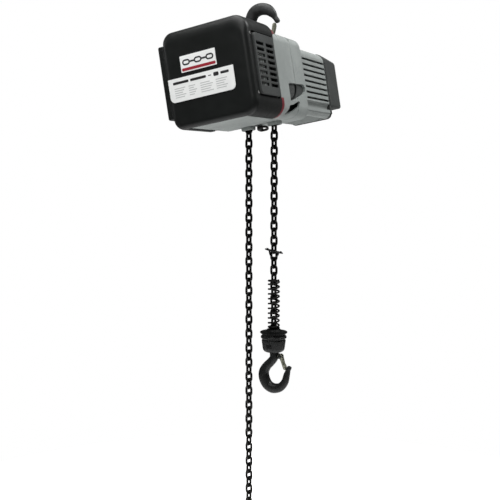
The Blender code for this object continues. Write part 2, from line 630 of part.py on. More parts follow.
WHEEL_PLUMB = empty("wheel_plumb_frame", (WHEEL_WORLD[0], 0.0, WHEEL_WORLD[1]))
wrap = []
for k in range(POCKETS):
    a = math.radians(15.0 + 30.0 * k)
    r = PITCH_R * math.cos(math.radians(15.0))
    wrap.append((r * math.cos(a), r * math.sin(a), -a, k % 2 == 1))
chain_object("wheel_chain", wrap, (0, 0, 0), WHEEL_PLUMB)

straight_run("load_chain_upper", LOAD_X, 1, 12)
straight_run("load_chain_mid", LOAD_X, 14, 5)
straight_run("load_chain_lower", LOAD_X, 20, 14)


def slack_run(name, first, count):
    places = []
    for k in range(first, first + count):
        z = WHEEL_WORLD[1] - PITCH * (k + 0.5)
        places.append((0.0, z, 0.0, k % 2 == 1))
    return chain_object(name, places, (SLACK_X, 0, 0), None)


slack_run("slack_chain_upper", 1, 33)
slack_run("slack_chain_lower", 35, 23)
turned("chain_end_stop", [(0.0, 11.0), (8.0, 11.0), (11.5, 7.0), (11.5, -8.0), (8.0, -12.0),
                          (0.0, -12.0)], (SLACK_X, 0, SLACK_END + 12.0), "Z", 14,
       "black_plastic", None)

# A pinned link under the case, where a chain container or the spare end hangs.
TAIL_FRAME = empty("tail_frame", (-48.5, 0.0, -281.8), 0.0, CASING)
chain_object("tail_link", [(0.0, 0.0, math.pi / 2, True)], (0, 0, 0), TAIL_FRAME)
anchor = block("tail_anchor", (-22.0, -9.0, 10.3), (-1.0, 9.0, 11.5), "dark_grey", TAIL_FRAME)
ear_a = block("tail_ear_a", (-12.0, -8.5, -3.5), (-3.0, -5.0, 10.9), None, TAIL_FRAME, 0, 2, True)
ear_b = block("tail_ear_b", (-12.0, 5.0, -3.5), (-3.0, 8.5, 10.9), None, TAIL_FRAME, 0, 2, True)
tail_pin = rod("tail_pin", 2.2, -7.0, 7.0, (-6.8, 0.0), "Y", 10, None, TAIL_FRAME, 0, True)
join(anchor, ear_a, ear_b, tail_pin)

# ---------------------------------------------------------------- hook block

STOP_FRAME = empty("stop_plate_frame", (LOAD_X, 0, STOP_Z), -12.0)
ring("stop_plate", 11.6, 24.0, -1.6, 1.6, (0, 0), "Z", 24, "forged_black", STOP_FRAME)

turns = 11
coil = []
for i in range(turns * 7 + 1):
    a = 2 * math.pi * i / 7
    t = i / (turns * 7)
    z = SPRING_TOP - 2.0 + (SPRING_BOTTOM - SPRING_TOP + 4.4) * t
    coil.append((13.6 * math.cos(a), 13.6 * math.sin(a), z))
tube("cushion_spring", coil, [1.9] * len(coil), (LOAD_X, 0, 0), 0, False, "forged_black", None)

turned("cushion_seat", [(11.6, SPRING_BOTTOM - 0.3), (17.5, SPRING_BOTTOM - 0.3), (21.0, -803.5),
                        (35.0, -806.5), (35.0, -811.0), (30.5, -814.7), (11.6, -814.7)],
       (LOAD_X, 0, 0), "Z", 22, "black_plastic", None)
body = turned("hook_block", [(0.0, -836.5), (11.6, -836.5), (11.6, -815.0), (30.0, -815.0),
                             (33.5, -818.5), (33.5, -823.5), (30.0, -826.0), (31.2, -829.0),
                             (27.5, -856.0), (23.0, BLOCK_BOTTOM), (11.4, BLOCK_BOTTOM),
                             (11.4, -853.0), (19.0, -853.0), (19.0, -841.0), (0.0, -841.0)],
              (LOAD_X, 0, 0), "Z", 22, "forged_black", None)
cut(body, rod("chain_pin_hole", 2.9, LOAD_X - 40, LOAD_X + 40, (0, -824.8), "X", 12, None, None,
              0, True))
rod("chain_pin", 2.6, LOAD_X - 27, LOAD_X + 27, (0, -824.8), "X", 12, "steel", None)

HOOK_FRAME = empty("bottom_hook_frame", (LOAD_X, 0, BLOCK_BOTTOM))
forged_hook("bottom_hook", HOOK_KNOTS, (0, 0, 0), 1, 18.0, HOOK_FRAME)
ring("bottom_thrust_bearing", 10.4, 18.4, 7.3, 10.3, (0, 0), "Z", 20, "steel", HOOK_FRAME)
nut2 = rod("bottom_hook_nut", 16.0, 10.6, 17.6, (0, 0), "Z", 6, "steel", HOOK_FRAME)
cut(nut2, rod("bottom_nut_bore", 10.3, 5, 30, (0, 0), "Z", 16, None, HOOK_FRAME, 0, True))
rod("bottom_latch_pin", 2.0, -7.6, 7.6, LATCH_PIVOT, "Y", 12, "steel", HOOK_FRAME)
BOTTOM_LATCH_FRAME = empty("bottom_latch_frame", (LATCH_PIVOT[0], 0, LATCH_PIVOT[1]), 0.0,
                           HOOK_FRAME)
hook_latch("bottom_latch", LATCH_TIP, (-LATCH_PIVOT[0], 0.0, -LATCH_PIVOT[1]), 1, BOTTOM_LATCH_FRAME)
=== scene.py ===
"""Looks of the electric chain hoist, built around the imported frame.

Everything is in metres in the part's own frame: +Z plumb up, +Y along the motor
shaft to the rear, origin where the top hook bears.  The casing hangs tilted
about Y, so its pieces are drawn in casing coordinates (millimetres, measured
along the casing's own axes from the same origin) and turned by CASING.
"""
import json
import math

import bmesh
import bpy
from mathutils import Matrix, Vector


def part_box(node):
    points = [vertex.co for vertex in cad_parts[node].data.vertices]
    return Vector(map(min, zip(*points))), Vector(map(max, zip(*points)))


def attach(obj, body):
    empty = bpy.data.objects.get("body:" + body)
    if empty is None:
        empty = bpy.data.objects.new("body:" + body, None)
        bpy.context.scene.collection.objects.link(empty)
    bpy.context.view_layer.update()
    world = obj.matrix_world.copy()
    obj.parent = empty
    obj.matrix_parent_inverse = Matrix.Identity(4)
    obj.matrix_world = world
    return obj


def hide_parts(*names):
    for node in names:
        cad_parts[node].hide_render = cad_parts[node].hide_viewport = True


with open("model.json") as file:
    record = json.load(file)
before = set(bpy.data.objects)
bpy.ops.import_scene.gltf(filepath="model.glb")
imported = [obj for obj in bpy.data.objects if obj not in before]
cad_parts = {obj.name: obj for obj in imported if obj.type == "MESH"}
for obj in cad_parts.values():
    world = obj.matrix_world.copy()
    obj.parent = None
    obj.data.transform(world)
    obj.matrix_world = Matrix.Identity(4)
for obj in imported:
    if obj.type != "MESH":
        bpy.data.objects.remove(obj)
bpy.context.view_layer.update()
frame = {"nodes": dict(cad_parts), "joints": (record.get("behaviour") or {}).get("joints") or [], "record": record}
SCENE = bpy.context.scene
NODES = frame["nodes"]
JOINTS = {joint["name"]: joint for joint in frame["joints"]}

# ---- camera

CAMERA_AT = (0.93999, -1.98474, -0.38979)
CAMERA_LOOK = Vector((-0.44005, 0.89307, -0.09367))
LENS = 61.4


def linked(name, data):
    obj = bpy.data.objects.new(name, data)
    SCENE.collection.objects.link(obj)
    return obj


def discard(obj):
    bpy.data.objects.remove(obj, do_unlink=True)


camera = linked("camera", bpy.data.cameras.new("camera"))
camera.location = CAMERA_AT
camera.rotation_euler = CAMERA_LOOK.to_track_quat("-Z", "Y").to_euler()
camera.data.lens = LENS
camera.data.sensor_width = 36
camera.data.clip_end = 60
SCENE.camera = camera

# ---- sizes

MM = 0.001
PITCH = 19.1                 # chain pitch
WIRE_R = 3.15                # chain wire radius
LINK_W = 21.6                # outer link width
TWIST = math.radians(-7)     # how far the hanging chain has turned about its length
SWIVEL_AXIS = Vector(JOINTS["casing_swivel"]["axis"])
TILT = math.atan2(-SWIVEL_AXIS.x, SWIVEL_AXIS.z)
CASING = Matrix.Rotation(-TILT, 4, "Y")
PLUMB = Matrix.Identity(4)


def case_box(node):
    """A node's corners in casing coordinates, in millimetres."""
    back = CASING.inverted()
    points = [back @ v.co / MM for v in NODES[node].data.vertices]
    low = Vector([min(p[i] for p in points) for i in range(3)])
    high = Vector([max(p[i] for p in points) for i in range(3)])
    return low, high


def plumb_centre(node):
    low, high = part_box(node)
    return (low + high) / 2 / MM


COVER_LO, COVER_HI = case_box("front_cover")
COVER_LO -= Vector((2, 0, 2.5))     # the shell stands a little past the solid's wall
COVER_HI += Vector((0, 0, 3.5))
CASE_LO, CASE_HI = case_box("gear_case")
GEAR_LO, GEAR_HI = case_box("gear_cover")
MOTOR_LO, MOTOR_HI = case_box("motor_housing")
WHEEL_CASE = CASING.inverted() @ Vector(JOINTS["wheel_spin"]["pos_m"]) / MM
WHEEL_Z = JOINTS["wheel_spin"]["pos_m"][2] / MM
WHEEL_X = JOINTS["wheel_spin"]["pos_m"][0] / MM
LOAD_X = plumb_centre("load_chain_lower").x
SLACK_SHIFT = 2              # the slack fall hangs this much further right than its solids
SLACK_X = plumb_centre("slack_chain_lower").x + SLACK_SHIFT
PITCH_R = LOAD_X - WHEEL_X
BLOCK_Z = JOINTS["bottom_hook_swivel"]["pos_m"][2] / MM
STOP_Z = plumb_centre("stop_plate").z
SPRING_LO, SPRING_HI = [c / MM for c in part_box("cushion_spring")]

# ---- materials

MATERIALS = {}


class Graph:
    """Short-hand for building one material's nodes; MATERIALS keeps it by name."""

    def __init__(self, name):
        self.material = bpy.data.materials.new(name)
        MATERIALS[name] = self.material
        self.material.use_nodes = True
        self.tree = self.material.node_tree
        self.shader = self.tree.nodes["Principled BSDF"]
        self.coords = self.add("ShaderNodeTexCoord").outputs["Object"]

    def add(self, kind, inputs=None, **settings):
        node = self.tree.nodes.new(kind)
        for key, value in settings.items():
            setattr(node, key, value)
        for key, value in (inputs or {}).items():
            self.feed(node.inputs[key], value)
        return node

    def feed(self, socket, value):
        if isinstance(value, bpy.types.NodeSocket):
            self.tree.links.new(value, socket)
        else:
            socket.default_value = value

    def noise(self, scale, detail=4, rough=0.55, stretch=None):
        where = self.coords
        if stretch:
            where = self.add("ShaderNodeMapping", {"Vector": self.coords, "Scale": stretch}).outputs[0]
        return self.add("ShaderNodeTexNoise", {"Vector": where, "Scale": scale, "Detail": detail,
            "Roughness": rough}).outputs["Fac"]

    def ramp(self, value, stops):
        node = self.add("ShaderNodeValToRGB", {"Fac": value})
        elements = node.color_ramp.elements
        while len(elements) < len(stops):
            elements.new(0.5)
        for element, (position, color) in zip(elements, stops):
            element.position = position
            element.color = (*color, 1)
        return node.outputs["Color"]

    def spread(self, value, low, high, start=0.3, end=0.7):
        return self.add("ShaderNodeMapRange", {"Value": value, "From Min": start, "From Max": end,
            "To Min": low, "To Max": high}).outputs[0]

    def mix(self, factor, first, second):
        node = self.add("ShaderNodeMix", {0: factor, 7: (*second, 1)}, data_type="RGBA")
        self.feed(node.inputs[6], first)
        return node.outputs[2]

    def bump(self, height, strength, distance, normal=None):
        inputs = {"Height": height, "Strength": strength, "Distance": distance}
        if normal:
            inputs["Normal"] = normal
        return self.add("ShaderNodeBump", inputs).outputs[0]

    def plug(self, **sockets):
        for key, value in sockets.items():
            self.feed(self.shader.inputs[key.replace("_", " ")], value)
        return self.material


def shades(color, low, high):
    return [(0.3, [c * low for c in color]), (0.7, [c * high for c in color])]


def coated(name, color, rough, grain, grain_size, metallic=0, specular=0.5, patch=0.12, wear=None):
    """Painted or moulded surface: patchy colour, uneven gloss, fine grain, worn edges."""
    g = Graph(name)
    tint = g.ramp(g.noise(14, 5), shades(color, 1 - patch, 1 + patch))
    if wear:
        edge = g.spread(g.add("ShaderNodeNewGeometry").outputs["Pointiness"], 0, 1, 0.53, 0.6)
        chips = g.spread(g.noise(180, 3), 0, 1, 0.5, 0.66)
        both = g.add("ShaderNodeMath", {0: edge, 1: chips}, operation="MULTIPLY").outputs[0]
        tint = g.mix(both, tint, wear)
    gloss = g.spread(g.noise(38, 6), rough - 0.06, rough + 0.07)
    fine = g.bump(g.noise(grain_size, 3), grain, 0.0006)
    normal = g.bump(g.noise(9, 2), 0.05, 0.004, fine)
    return g.plug(Base_Color=tint, Roughness=gloss, Normal=normal, Metallic=metallic,
        Specular_IOR_Level=specular)


def bare_metal(name, color, rough, brushed=None, patch=0.2, specular=0.5):
    """Bare metal with drawn or turned marks and darker, duller patches."""
    g = Graph(name)
    tint = g.ramp(g.noise(55, 6, 0.6), shades(color, 1 - patch, 1 + patch * 0.5))
    marks = g.noise(420, 2, 0.5, brushed)
    gloss = g.spread(g.noise(90, 5), rough - 0.08, rough + 0.12)
    return g.plug(Base_Color=tint, Roughness=gloss, Metallic=1, Specular_IOR_Level=specular,
        Normal=g.bump(marks, 0.12, 0.0004))


def forged(name, color, rough):
    """Drop-forged steel under thin black paint: soft hammer marks and scale pits."""
    g = Graph(name)
    scale_pits = g.add("ShaderNodeTexVoronoi", {"Vector": g.coords, "Scale": 260},
        feature="SMOOTH_F1").outputs["Distance"]
    tint = g.ramp(g.noise(70, 6, 0.65), shades(color, 0.65, 1.6))
    gloss = g.spread(g.noise(120, 4), rough - 0.1, rough + 0.12)
    coarse = g.bump(g.noise(42, 4), 0.35, 0.002)
    normal = g.bump(scale_pits, 0.22, 0.0008, coarse)
    return g.plug(Base_Color=tint, Roughness=gloss, Normal=normal, Metallic=0.35,
        Specular_IOR_Level=0.38)


def zinc_chromate(name):
    """Zinc plate with the faint yellow-green bloom of passivation."""
    g = Graph(name)
    cloud = g.noise(120, 5, 0.6)
    tint = g.ramp(cloud, [(0.32, (0.20, 0.21, 0.15)), (0.52, (0.36, 0.36, 0.29)),
        (0.72, (0.28, 0.27, 0.18))])
    spangle = g.add("ShaderNodeTexVoronoi", {"Vector": g.coords, "Scale": 520}).outputs["Distance"]
    gloss = g.spread(cloud, 0.28, 0.46)
    return g.plug(Base_Color=tint, Roughness=gloss, Metallic=0.8, Normal=g.bump(spangle, 0.08, 0.0004))


def windings(name):
    """Varnished copper turns beside dark laminations, in bands along the shaft."""
    g = Graph(name)
    bands = g.add("ShaderNodeTexWave", {"Vector": g.coords, "Scale": 260, "Distortion": 0.4},
        bands_direction="Y").outputs["Fac"]
    tint = g.ramp(bands, [(0.3, (0.012, 0.008, 0.006)), (0.7, (0.06, 0.03, 0.018))])
    return g.plug(Base_Color=tint, Roughness=g.spread(g.noise(200), 0.4, 0.6), Metallic=0.6,
        Normal=g.bump(bands, 0.3, 0.0006))


def board(name):
    """Solder-masked circuit board with darker tracks."""
    g = Graph(name)
    tracks = g.add("ShaderNodeTexBrick", {"Vector": g.coords, "Scale": 60, "Color1": (0, 0, 0, 1),
        "Color2": (1, 1, 1, 1)}).outputs["Fac"]
    tint = g.mix(tracks, (0.015, 0.13, 0.05, 1), (0.03, 0.2, 0.09))
    return g.plug(Base_Color=tint, Roughness=g.spread(g.noise(80), 0.3, 0.45),
        Normal=g.bump(tracks, 0.2, 0.0003))


def print_film(name, color):
    """Printed polyester film: even ink, faint orange peel, slightly uneven gloss."""
    g = Graph(name)
    tint = g.ramp(g.noise(30, 4), shades(color, 0.96, 1.03))
    return g.plug(Base_Color=tint, Roughness=g.spread(g.noise(60), 0.33, 0.46),
        Normal=g.bump(g.noise(900, 2), 0.05, 0.0002))


coated("black_paint", (0.0058, 0.0068, 0.0064), 0.38, 0.22, 1500, specular=0.2,
    wear=(0.03, 0.032, 0.032))
coated("dark_grey", (0.038, 0.041, 0.040), 0.5, 0.4, 1100, specular=0.25, patch=0.16,
    wear=(0.13, 0.135, 0.13))
coated("casting_grey", (0.235, 0.255, 0.247), 0.46, 0.35, 900, 0.1, 0.45, wear=(0.3, 0.315, 0.305))
coated("red_seal", (0.13, 0.006, 0.013), 0.42, 0.25, 1200, wear=(0.4, 0.1, 0.1))
print_film("white_label", (0.78, 0.79, 0.78))
forged("forged_black", (0.0048, 0.0053, 0.0053), 0.42)
bare_metal("chain_black", (0.016, 0.0155, 0.015), 0.42, (1, 1, 0.12), 0.35, 0.4)
zinc_chromate("zinc")
bare_metal("steel", (0.38, 0.38, 0.37), 0.34, (1, 0.1, 1))
windings("copper")
bare_metal("aluminium", (0.62, 0.64, 0.63), 0.42, (0.1, 1, 1), 0.1)
board("board_green")
coated("black_plastic", (0.002, 0.0023, 0.0022), 0.5, 0.4, 1000, specular=0.08)
# Lighter copy of forged_black for the top hook alone: painted sheen standing in for the overhead light.
forged("forged_painted_sheen", (0.017, 0.018, 0.018), 0.5)
print_film("ink_red", (0.28, 0.01, 0.022))
print_film("ink_black", (0.012, 0.012, 0.013))
print_film("ink_grey", (0.44, 0.45, 0.45))

for entry in frame["record"]["subparts"]:
    mesh = NODES[entry["node"]].data
    mesh.materials.clear()
    mesh.materials.append(MATERIALS[entry["material_slot"]])

# ---- mesh tools


def finish_piece(obj, mat, body="casing", place=CASING, replaces=(), sharp=32):
    """Scale from millimetres, put in place, shade, and hang the piece on its body."""
    mesh = obj.data
    mesh.transform(place @ Matrix.Scale(MM, 4))
    obj.matrix_world = Matrix.Identity(4)
    mesh.materials.clear()
    mesh.materials.append(MATERIALS[mat])
    mesh.shade_smooth()
    mesh.set_sharp_from_angle(angle=math.radians(sharp))
    weighted = obj.modifiers.new("normals", "WEIGHTED_NORMAL")
    weighted.keep_sharp = True
    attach(obj, body)
    if replaces:
        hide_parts(*replaces)
    return obj


def as_object(name, bm, orient=True):
    if orient:
        bmesh.ops.recalc_face_normals(bm, faces=bm.faces)
    mesh = bpy.data.meshes.new(name)
    bm.to_mesh(mesh)
    bm.free()
    return linked(name, mesh)


def evaluated(obj):
    """A new mesh of the object as its modifiers or its curve make it."""
    bpy.context.view_layer.update()
    graph = bpy.context.evaluated_depsgraph_get()
    return bpy.data.meshes.new_from_object(obj.evaluated_get(graph))


def settle(obj):
    """Apply an object's modifiers."""
    mesh = evaluated(obj)
    obj.modifiers.clear()
    obj.data = mesh
    return obj


def combine(obj, tools, operation="DIFFERENCE"):
    """Cut with, or add, other objects, which are then removed."""
    for tool in tools:
        mod = obj.modifiers.new("combine", "BOOLEAN")
        mod.operation = operation
        mod.object = tool
        mod.solver = "EXACT"
    settle(obj)
    for tool in tools:
        discard(tool)
    return obj


def merged(name, objects):
    """One object holding several separate bodies."""
    bm = bmesh.new()
    for obj in objects:
        obj.data.transform(obj.matrix_world)
        bm.from_mesh(obj.data)
        discard(obj)
    return as_object(name, bm, False)


def bevel(obj, width, segments):
    mod = obj.modifiers.new("edges", "BEVEL")
    mod.width = width
    mod.segments = segments
    mod.limit_method = "ANGLE"
    mod.angle_limit = math.radians(35)
    mod.use_clamp_overlap = True
    return settle(obj)


def box(name, lo, hi, edge=0, segments=3):
    bm = bmesh.new()
    bmesh.ops.create_cube(bm, size=1)
    bmesh.ops.scale(bm, vec=[b - a for a, b in zip(lo, hi)], verts=bm.verts)
    bmesh.ops.translate(bm, vec=[(a + b) / 2 for a, b in zip(lo, hi)], verts=bm.verts)
    obj = as_object(name, bm)
    return bevel(obj, edge, segments) if edge else obj


def arc(cx, cz, radius, start, turn, steps, rise=None):
    """Points round an arc, both ends included; angles in degrees, `rise` is its other radius."""
    rise = radius if rise is None else rise
    return [(cx + radius * math.cos(a), cz + rise * math.sin(a))
        for a in [math.radians(start + turn * i / steps) for i in range(steps + 1)]]


def circle(radius, sides):
    return [(radius * math.cos(2 * math.pi * i / sides), radius * math.sin(2 * math.pi * i / sides))
        for i in range(sides)]


def rounded(x0, x1, z0, z1, radius, steps=8):
    """Closed outline of a rounded rectangle."""
    return (arc(x1 - radius, z1 - radius, radius, 0, 90, steps) + arc(x0 + radius, z1 - radius, radius,
        90, 90, steps) + arc(x0 + radius, z0 + radius, radius, 180, 90, steps) + arc(x1 - radius,
        z0 + radius, radius, 270, 90, steps))


def skin(name, bm, rings, closed=False):
    """Join rings with equal point counts; an open run is capped at both ends."""
    for first, second in zip(rings, rings[1:] + (rings[:1] if closed else [])):
        for i in range(len(first)):
            j = (i + 1) % len(first)
            bm.faces.new((first[i], first[j], second[j], second[i]))
    if not closed:
        bm.faces.new(rings[0])
        bm.faces.new(list(reversed(rings[-1])))
    return as_object(name, bm)


def loft(name, sections):
    """Skin over (y, outline) sections."""
    bm = bmesh.new()
    return skin(name, bm, [[bm.verts.new((x, y, z)) for x, z in outline] for y, outline in sections])


def prism(name, y0, y1, outline):
    return loft(name, [(y0, outline), (y1, outline)])


def plate(name, loops, thickness, edge, flat, at):
    """Flat plate from outlines (the first encloses the others) with rounded edges."""
    curve = bpy.data.curves.new(name, "CURVE")
    curve.dimensions = "2D"
    curve.fill_mode = "BOTH"
    curve.extrude = thickness / 2 - edge
    curve.bevel_depth = edge
    curve.bevel_resolution = 2
    curve.offset = -edge
    for loop in loops:
        spline = curve.splines.new("POLY")
        spline.points.add(len(loop) - 1)
        for point, (u, v) in zip(spline.points, loop):
            point.co = (u, v, 0, 1)
        spline.use_cyclic_u = True
    source = linked(name + "_curve", curve)
    mesh = evaluated(source)
    discard(source)
    bm = bmesh.new()
    bm.from_mesh(mesh)
    bmesh.ops.remove_doubles(bm, verts=bm.verts, dist=0.01)
    turn = {"YZ": Matrix(((0, 0, 1, at), (1, 0, 0, 0), (0, 1, 0, 0), (0, 0, 0, 1))),
        "XZ": Matrix(((1, 0, 0, 0), (0, 0, -1, at), (0, 1, 0, 0), (0, 0, 0, 1)))}[flat]
    bmesh.ops.transform(bm, matrix=turn, verts=bm.verts)
    return as_object(name, bm)


def turned(name, profile, at, axis="Z", steps=56):
    """Turned piece; the profile lists (radius, height) and may touch the axis."""
    bm = bmesh.new()
    rings = []
    for radius, height in profile:
        if radius < 0.01:
            rings.append([bm.verts.new((0, 0, height))])
            continue
        rings.append([bm.verts.new((x, y, height)) for x, y in circle(radius, steps)])
    closed = profile[0][0] > 0.01 and profile[-1][0] > 0.01
    pairs = list(zip(rings, rings[1:])) + ([(rings[-1], rings[0])] if closed else [])
    for first, second in pairs:
        for i in range(steps):
            j = (i + 1) % steps
            corners = [first[i % len(first)], first[j % len(first)], second[j % len(second)],
                second[i % len(second)]]
            unique = list(dict.fromkeys(corners))
            if len(unique) > 2:
                bm.faces.new(unique)
    turn = {"X": Matrix.Rotation(math.pi / 2, 4, "Y"), "Y": Matrix.Rotation(-math.pi / 2, 4, "X"),
        "Z": Matrix.Identity(4)}[axis]
    bmesh.ops.transform(bm, matrix=Matrix.Translation(at) @ turn, verts=bm.verts)
    return as_object(name, bm)


def rod(name, radius, start, end, at, axis="Z", steps=56):
    """Plain cylinder between two heights along an axis."""
    return turned(name, [(0, start), (radius, start), (radius, end), (0, end)], at, axis, steps)


def mirrored(profile):
    """A profile's upper half followed by its mirror image."""
    return profile + [(radius, -height) for radius, height in reversed(profile)]


def sweep(name, path, section, closed=False, up=Vector((0, 1, 0))):
    """Skin along a path.  section(i) gives the ring's offsets (across, along `up`)."""
    bm = bmesh.new()
    points = [Vector(p) for p in path]
    count = len(points)
    rings = []
    for i, point in enumerate(points):
        before = points[i - 1] if closed or i else point
        after = points[(i + 1) % count] if closed or i + 1 < count else point
        tangent = (after - before).normalized()
        side = tangent.cross(up).normalized()
        lift = side.cross(tangent).normalized()
        rings.append([bm.verts.new(point + side * u + lift * v) for u, v in section(i)])
    return skin(name, bm, rings, closed)


def smooth_path(knots, per_span):
    """Catmull-Rom samples through knots of any width."""
    out = []
    last = len(knots) - 1
    for i in range(last):
        p0, p1, p2, p3 = knots[max(i - 1, 0)], knots[i], knots[i + 1], knots[min(i + 2, last)]
        for k in range(per_span):
            t = k / per_span
            out.append([0.5 * (2 * b + (c - a) * t + (2 * a - 5 * b + 4 * c - d) * t * t
                + (3 * b - a - 3 * c + d) * t ** 3) for a, b, c, d in zip(p0, p1, p2, p3)])
    out.append(list(knots[-1]))
    return out


def cap_screw(name, at, axis, radius, height, outward=1):
    """Socket cap screw head with a bevelled rim and a hexagon socket."""
    top = height * outward
    head = turned(name, [(0, top), (radius * 0.88, top), (radius, height * 0.85 * outward),
        (radius, -outward), (0, -outward)], at, axis, 24)
    socket = rod(name + "_socket", radius * 0.52, height * 1.5 * outward, height * 0.4 * outward, at,
        axis, 6)
    return combine(head, [socket])


def screws(name, places, axis, radius, height):
    """One piece of equal screw heads on the casing."""
    heads = [cap_screw("screw", at, axis, radius, height) for at in places]
    finish_piece(merged(name, heads), "steel")


# ---- control cover

COVER_R = 36
LEFT_TIGHTER = 0.74             # radius of the left corners over that of the right ones
FACE_R = 15
TOP_PULL = 1.9                  # how much more the face's top edge is drawn in than the others
COVER_WALL = 8
PANEL_Y = (-190, -84)
PANEL_Z = (-226, -83)
PANEL_R = 9
PANEL_FACE = (46.3, 51.5)       # inner and outer face of the right panel
PANEL_GROOVE = 5
VENT_FIRST = (-184, -102.8)     # front end and top of the first vent slot
VENT_STEP = 52
VENT_PITCH = 13.6
SLOT_LENGTH, SLOT_HEIGHT = 40, 7.6
UNDER_CUT = (-148.2, 12.2)      # where the case's tongue closes the cover from below


def cover_outline(x0, x1, z0, z1, radius):
    """Cover's section: its left corners are tighter than its right ones."""
    half = (x0 + x1) / 2
    wide = [(x, z) for x, z in rounded(x0, x1, z0, z1, radius, 12) if x > half]
    tight = [(x, z) for x, z in rounded(x0, x1, z0, z1, radius * LEFT_TIGHTER, 12) if x <= half]
    middle = (z0 + z1) / 2
    return sorted(wide + tight, key=lambda p: math.atan2(p[1] - middle, p[0] - half))


def cover_skin(inset, rim):
    """Sections from the rim to the front face; the face's edge is rounded, most at the top."""
    x0, x1 = COVER_LO.x + inset, COVER_HI.x - inset
    z0, z1 = COVER_LO.z + inset, COVER_HI.z - inset
    front = COVER_LO.y + inset
    radius = COVER_R - inset
    rounding = FACE_R - inset / 2
    out = [(rim, cover_outline(x0, x1, z0, z1, radius))]
    for step in range(9):
        a = math.pi / 2 * step / 8
        pull = rounding * (1 - math.cos(a))
        out.append((front + rounding * (1 - math.sin(a)), cover_outline(x0 + pull, x1 - pull, z0 + pull,
            z1 - TOP_PULL * pull, radius - pull * 0.5)))
    return out


def panel_outline(grow, radius):
    return rounded(PANEL_Y[0] - grow, PANEL_Y[1] + grow, PANEL_Z[0] - grow, PANEL_Z[1] + grow, radius)


def build_cover():
    rim = COVER_HI.y
    inner = list(reversed(cover_skin(COVER_WALL, rim)))
    outer = cover_skin(1, rim)[:1] + cover_skin(0, rim - 1)
    cover = loft("control_cover", inner + outer)
    tools = [box("floor_cut", (-148, -204, -290), (12, -40, -258))]
    airway = rounded(PANEL_Y[0] + 9, PANEL_Y[1] - 9, PANEL_Z[0] + 6, PANEL_Z[1] - 8, 4)
    for wall, outward in ((COVER_HI.x, 1), (COVER_LO.x, -1)):
        pocket = panel_outline(PANEL_GROOVE, PANEL_R)
        tools.append(plate("pocket", [pocket], 12, 0.5, "YZ", wall + outward))
        tools.append(plate("airway", [airway], 40, 0.5, "YZ", wall))
    combine(cover, tools)
    finish_piece(cover, "black_paint", replaces=["front_cover"])


def vent_slots():
    """Extents of a vent's slots: two columns of eight."""
    front, top = VENT_FIRST
    return [(front + VENT_STEP * column, front + VENT_STEP * column + SLOT_LENGTH,
        top - VENT_PITCH * row - SLOT_HEIGHT, top - VENT_PITCH * row) for column in range(2)
        for row in range(8)]


def build_vent_panel():
    """Louvred panel in a groove of the cover's right side, with two screws in front of it."""
    inner, outer = PANEL_FACE
    loops = [panel_outline(0, PANEL_R)] + [rounded(*slot, 1.4, 3) for slot in vent_slots()]
    face = plate("face", loops, outer - inner, 1.1, "YZ", (inner + outer) / 2)
    skirt = plate("skirt", [panel_outline(-1, 6), panel_outline(-4, 4)], 5.4, 0.3, "YZ", inner - 2.5)
    finish_piece(merged("vent_panel_right_skin", [face, skirt]), "dark_grey",
        replaces=["vent_panel_right"], sharp=38)
    screws("panel_screws_right", [(inner - 2, PANEL_Y[0] - 9.5, z)
        for z in (PANEL_Z[0] + 3, PANEL_Z[1] - 3)], "X", 2.8, 3.2)


def build_left_hood():
    """Deeper louvred hood on the far side."""
    hood = box("vent_hood_left", (-200.2, -205, -243), (-182.3, -84, -64), 4.5)
    inside = box("inside", (-197, -201, -239), (-170, -88, -68), 2)
    slots = [box("slot", (-205, y0, z0), (-185, y1, z1), 1.2, 2) for y0, y1, z0, z1 in vent_slots()]
    combine(hood, [inside, merged("slots", slots)])
    finish_piece(hood, "black_paint", replaces=["vent_panel_left"], sharp=38)


def build_trim_ring():
    """Seal that shows round the corners and sits back along the straight sides."""
    loops = [rounded(-181.4, 45.4, -270, -41.6, COVER_R, 12), rounded(-168, 32, -258, -58, 28, 12)]
    ring = plate("joint_ring", loops, 15, 1.2, "XZ", -62.6)
    combine(ring, [box("gap", (UNDER_CUT[0], -90, -290), (UNDER_CUT[1], -40, -250)),
        box("flat", (37.4, -90, -225), (60, -40, -68), 3),
        box("flat", (-200, -90, -225), (-173.4, -40, -68), 3)])
    finish_piece(ring, "red_seal", replaces=["trim_ring"])


# ---- gear case

CASE = (CASE_LO.x, CASE_HI.x, CASE_LO.z, CASE_HI.z)
CASE_R = 30
CASE_FRONT, CASE_SHOULDER = -65.2, 6    # ends of the case's wide front body
WAIST = (GEAR_LO.x, GEAR_HI.x, GEAR_LO.z, GEAR_HI.z)
WAIST_R = 28
SEAM_FRONT, SEAM_BACK = 48.5, 50.9      # the joint between the case and its cover
GEAR_BACK = 119
HOOK_X = sum(corner.x for corner in case_box("top_hook_nut")) / 2


def shrunk(extent, radius, inset):
    """Rounded outline of an (x0, x1, z0, z1) extent, moved inwards; corners stay parallel."""
    x0, x1, z0, z1 = extent
    return rounded(x0 + inset, x1 - inset, z0 + inset, z1 - inset, radius - inset, 12)


def drum(name, extent, radius, stations):
    """Loft through (y, inset) stations of one rounded outline."""
    return loft(name, [(y, shrunk(extent, radius, inset)) for y, inset in stations])


SCOOP = [(4, -184), (16, -180), (98, -177), (107, -179), (111, -186), (109, -194), (100, -201),
    (72, -210), (22, -224), (9, -229), (4, -226)]
HOLLOW = [(-9, -240), (-6, -237.5), (14, -236), (52, -224.5), (61, -226), (54, -237), (28, -249),
    (-24, -262), (-29, -260.5), (-14, -249)]
# Dark plates in the scoop paint the shade of its recess: where they stand and how thick they are.
SHADE_PLATE_X, SHADE_PLATE_THICK = 28, 8


def arc_gap():
    """The curved opening between the scoop's two dark shade plates, narrowing towards its foot."""
    path = [(SHADE_PLATE_X, y, z) for y, z in arc(12, -180, 49, -8, 100, 14, -42)]
    return sweep("gap", path, lambda i: [(u, 3 * v) for u, v in circle(7 - 0.3 * i, 12)], False,
        Vector((1, 0, 0)))


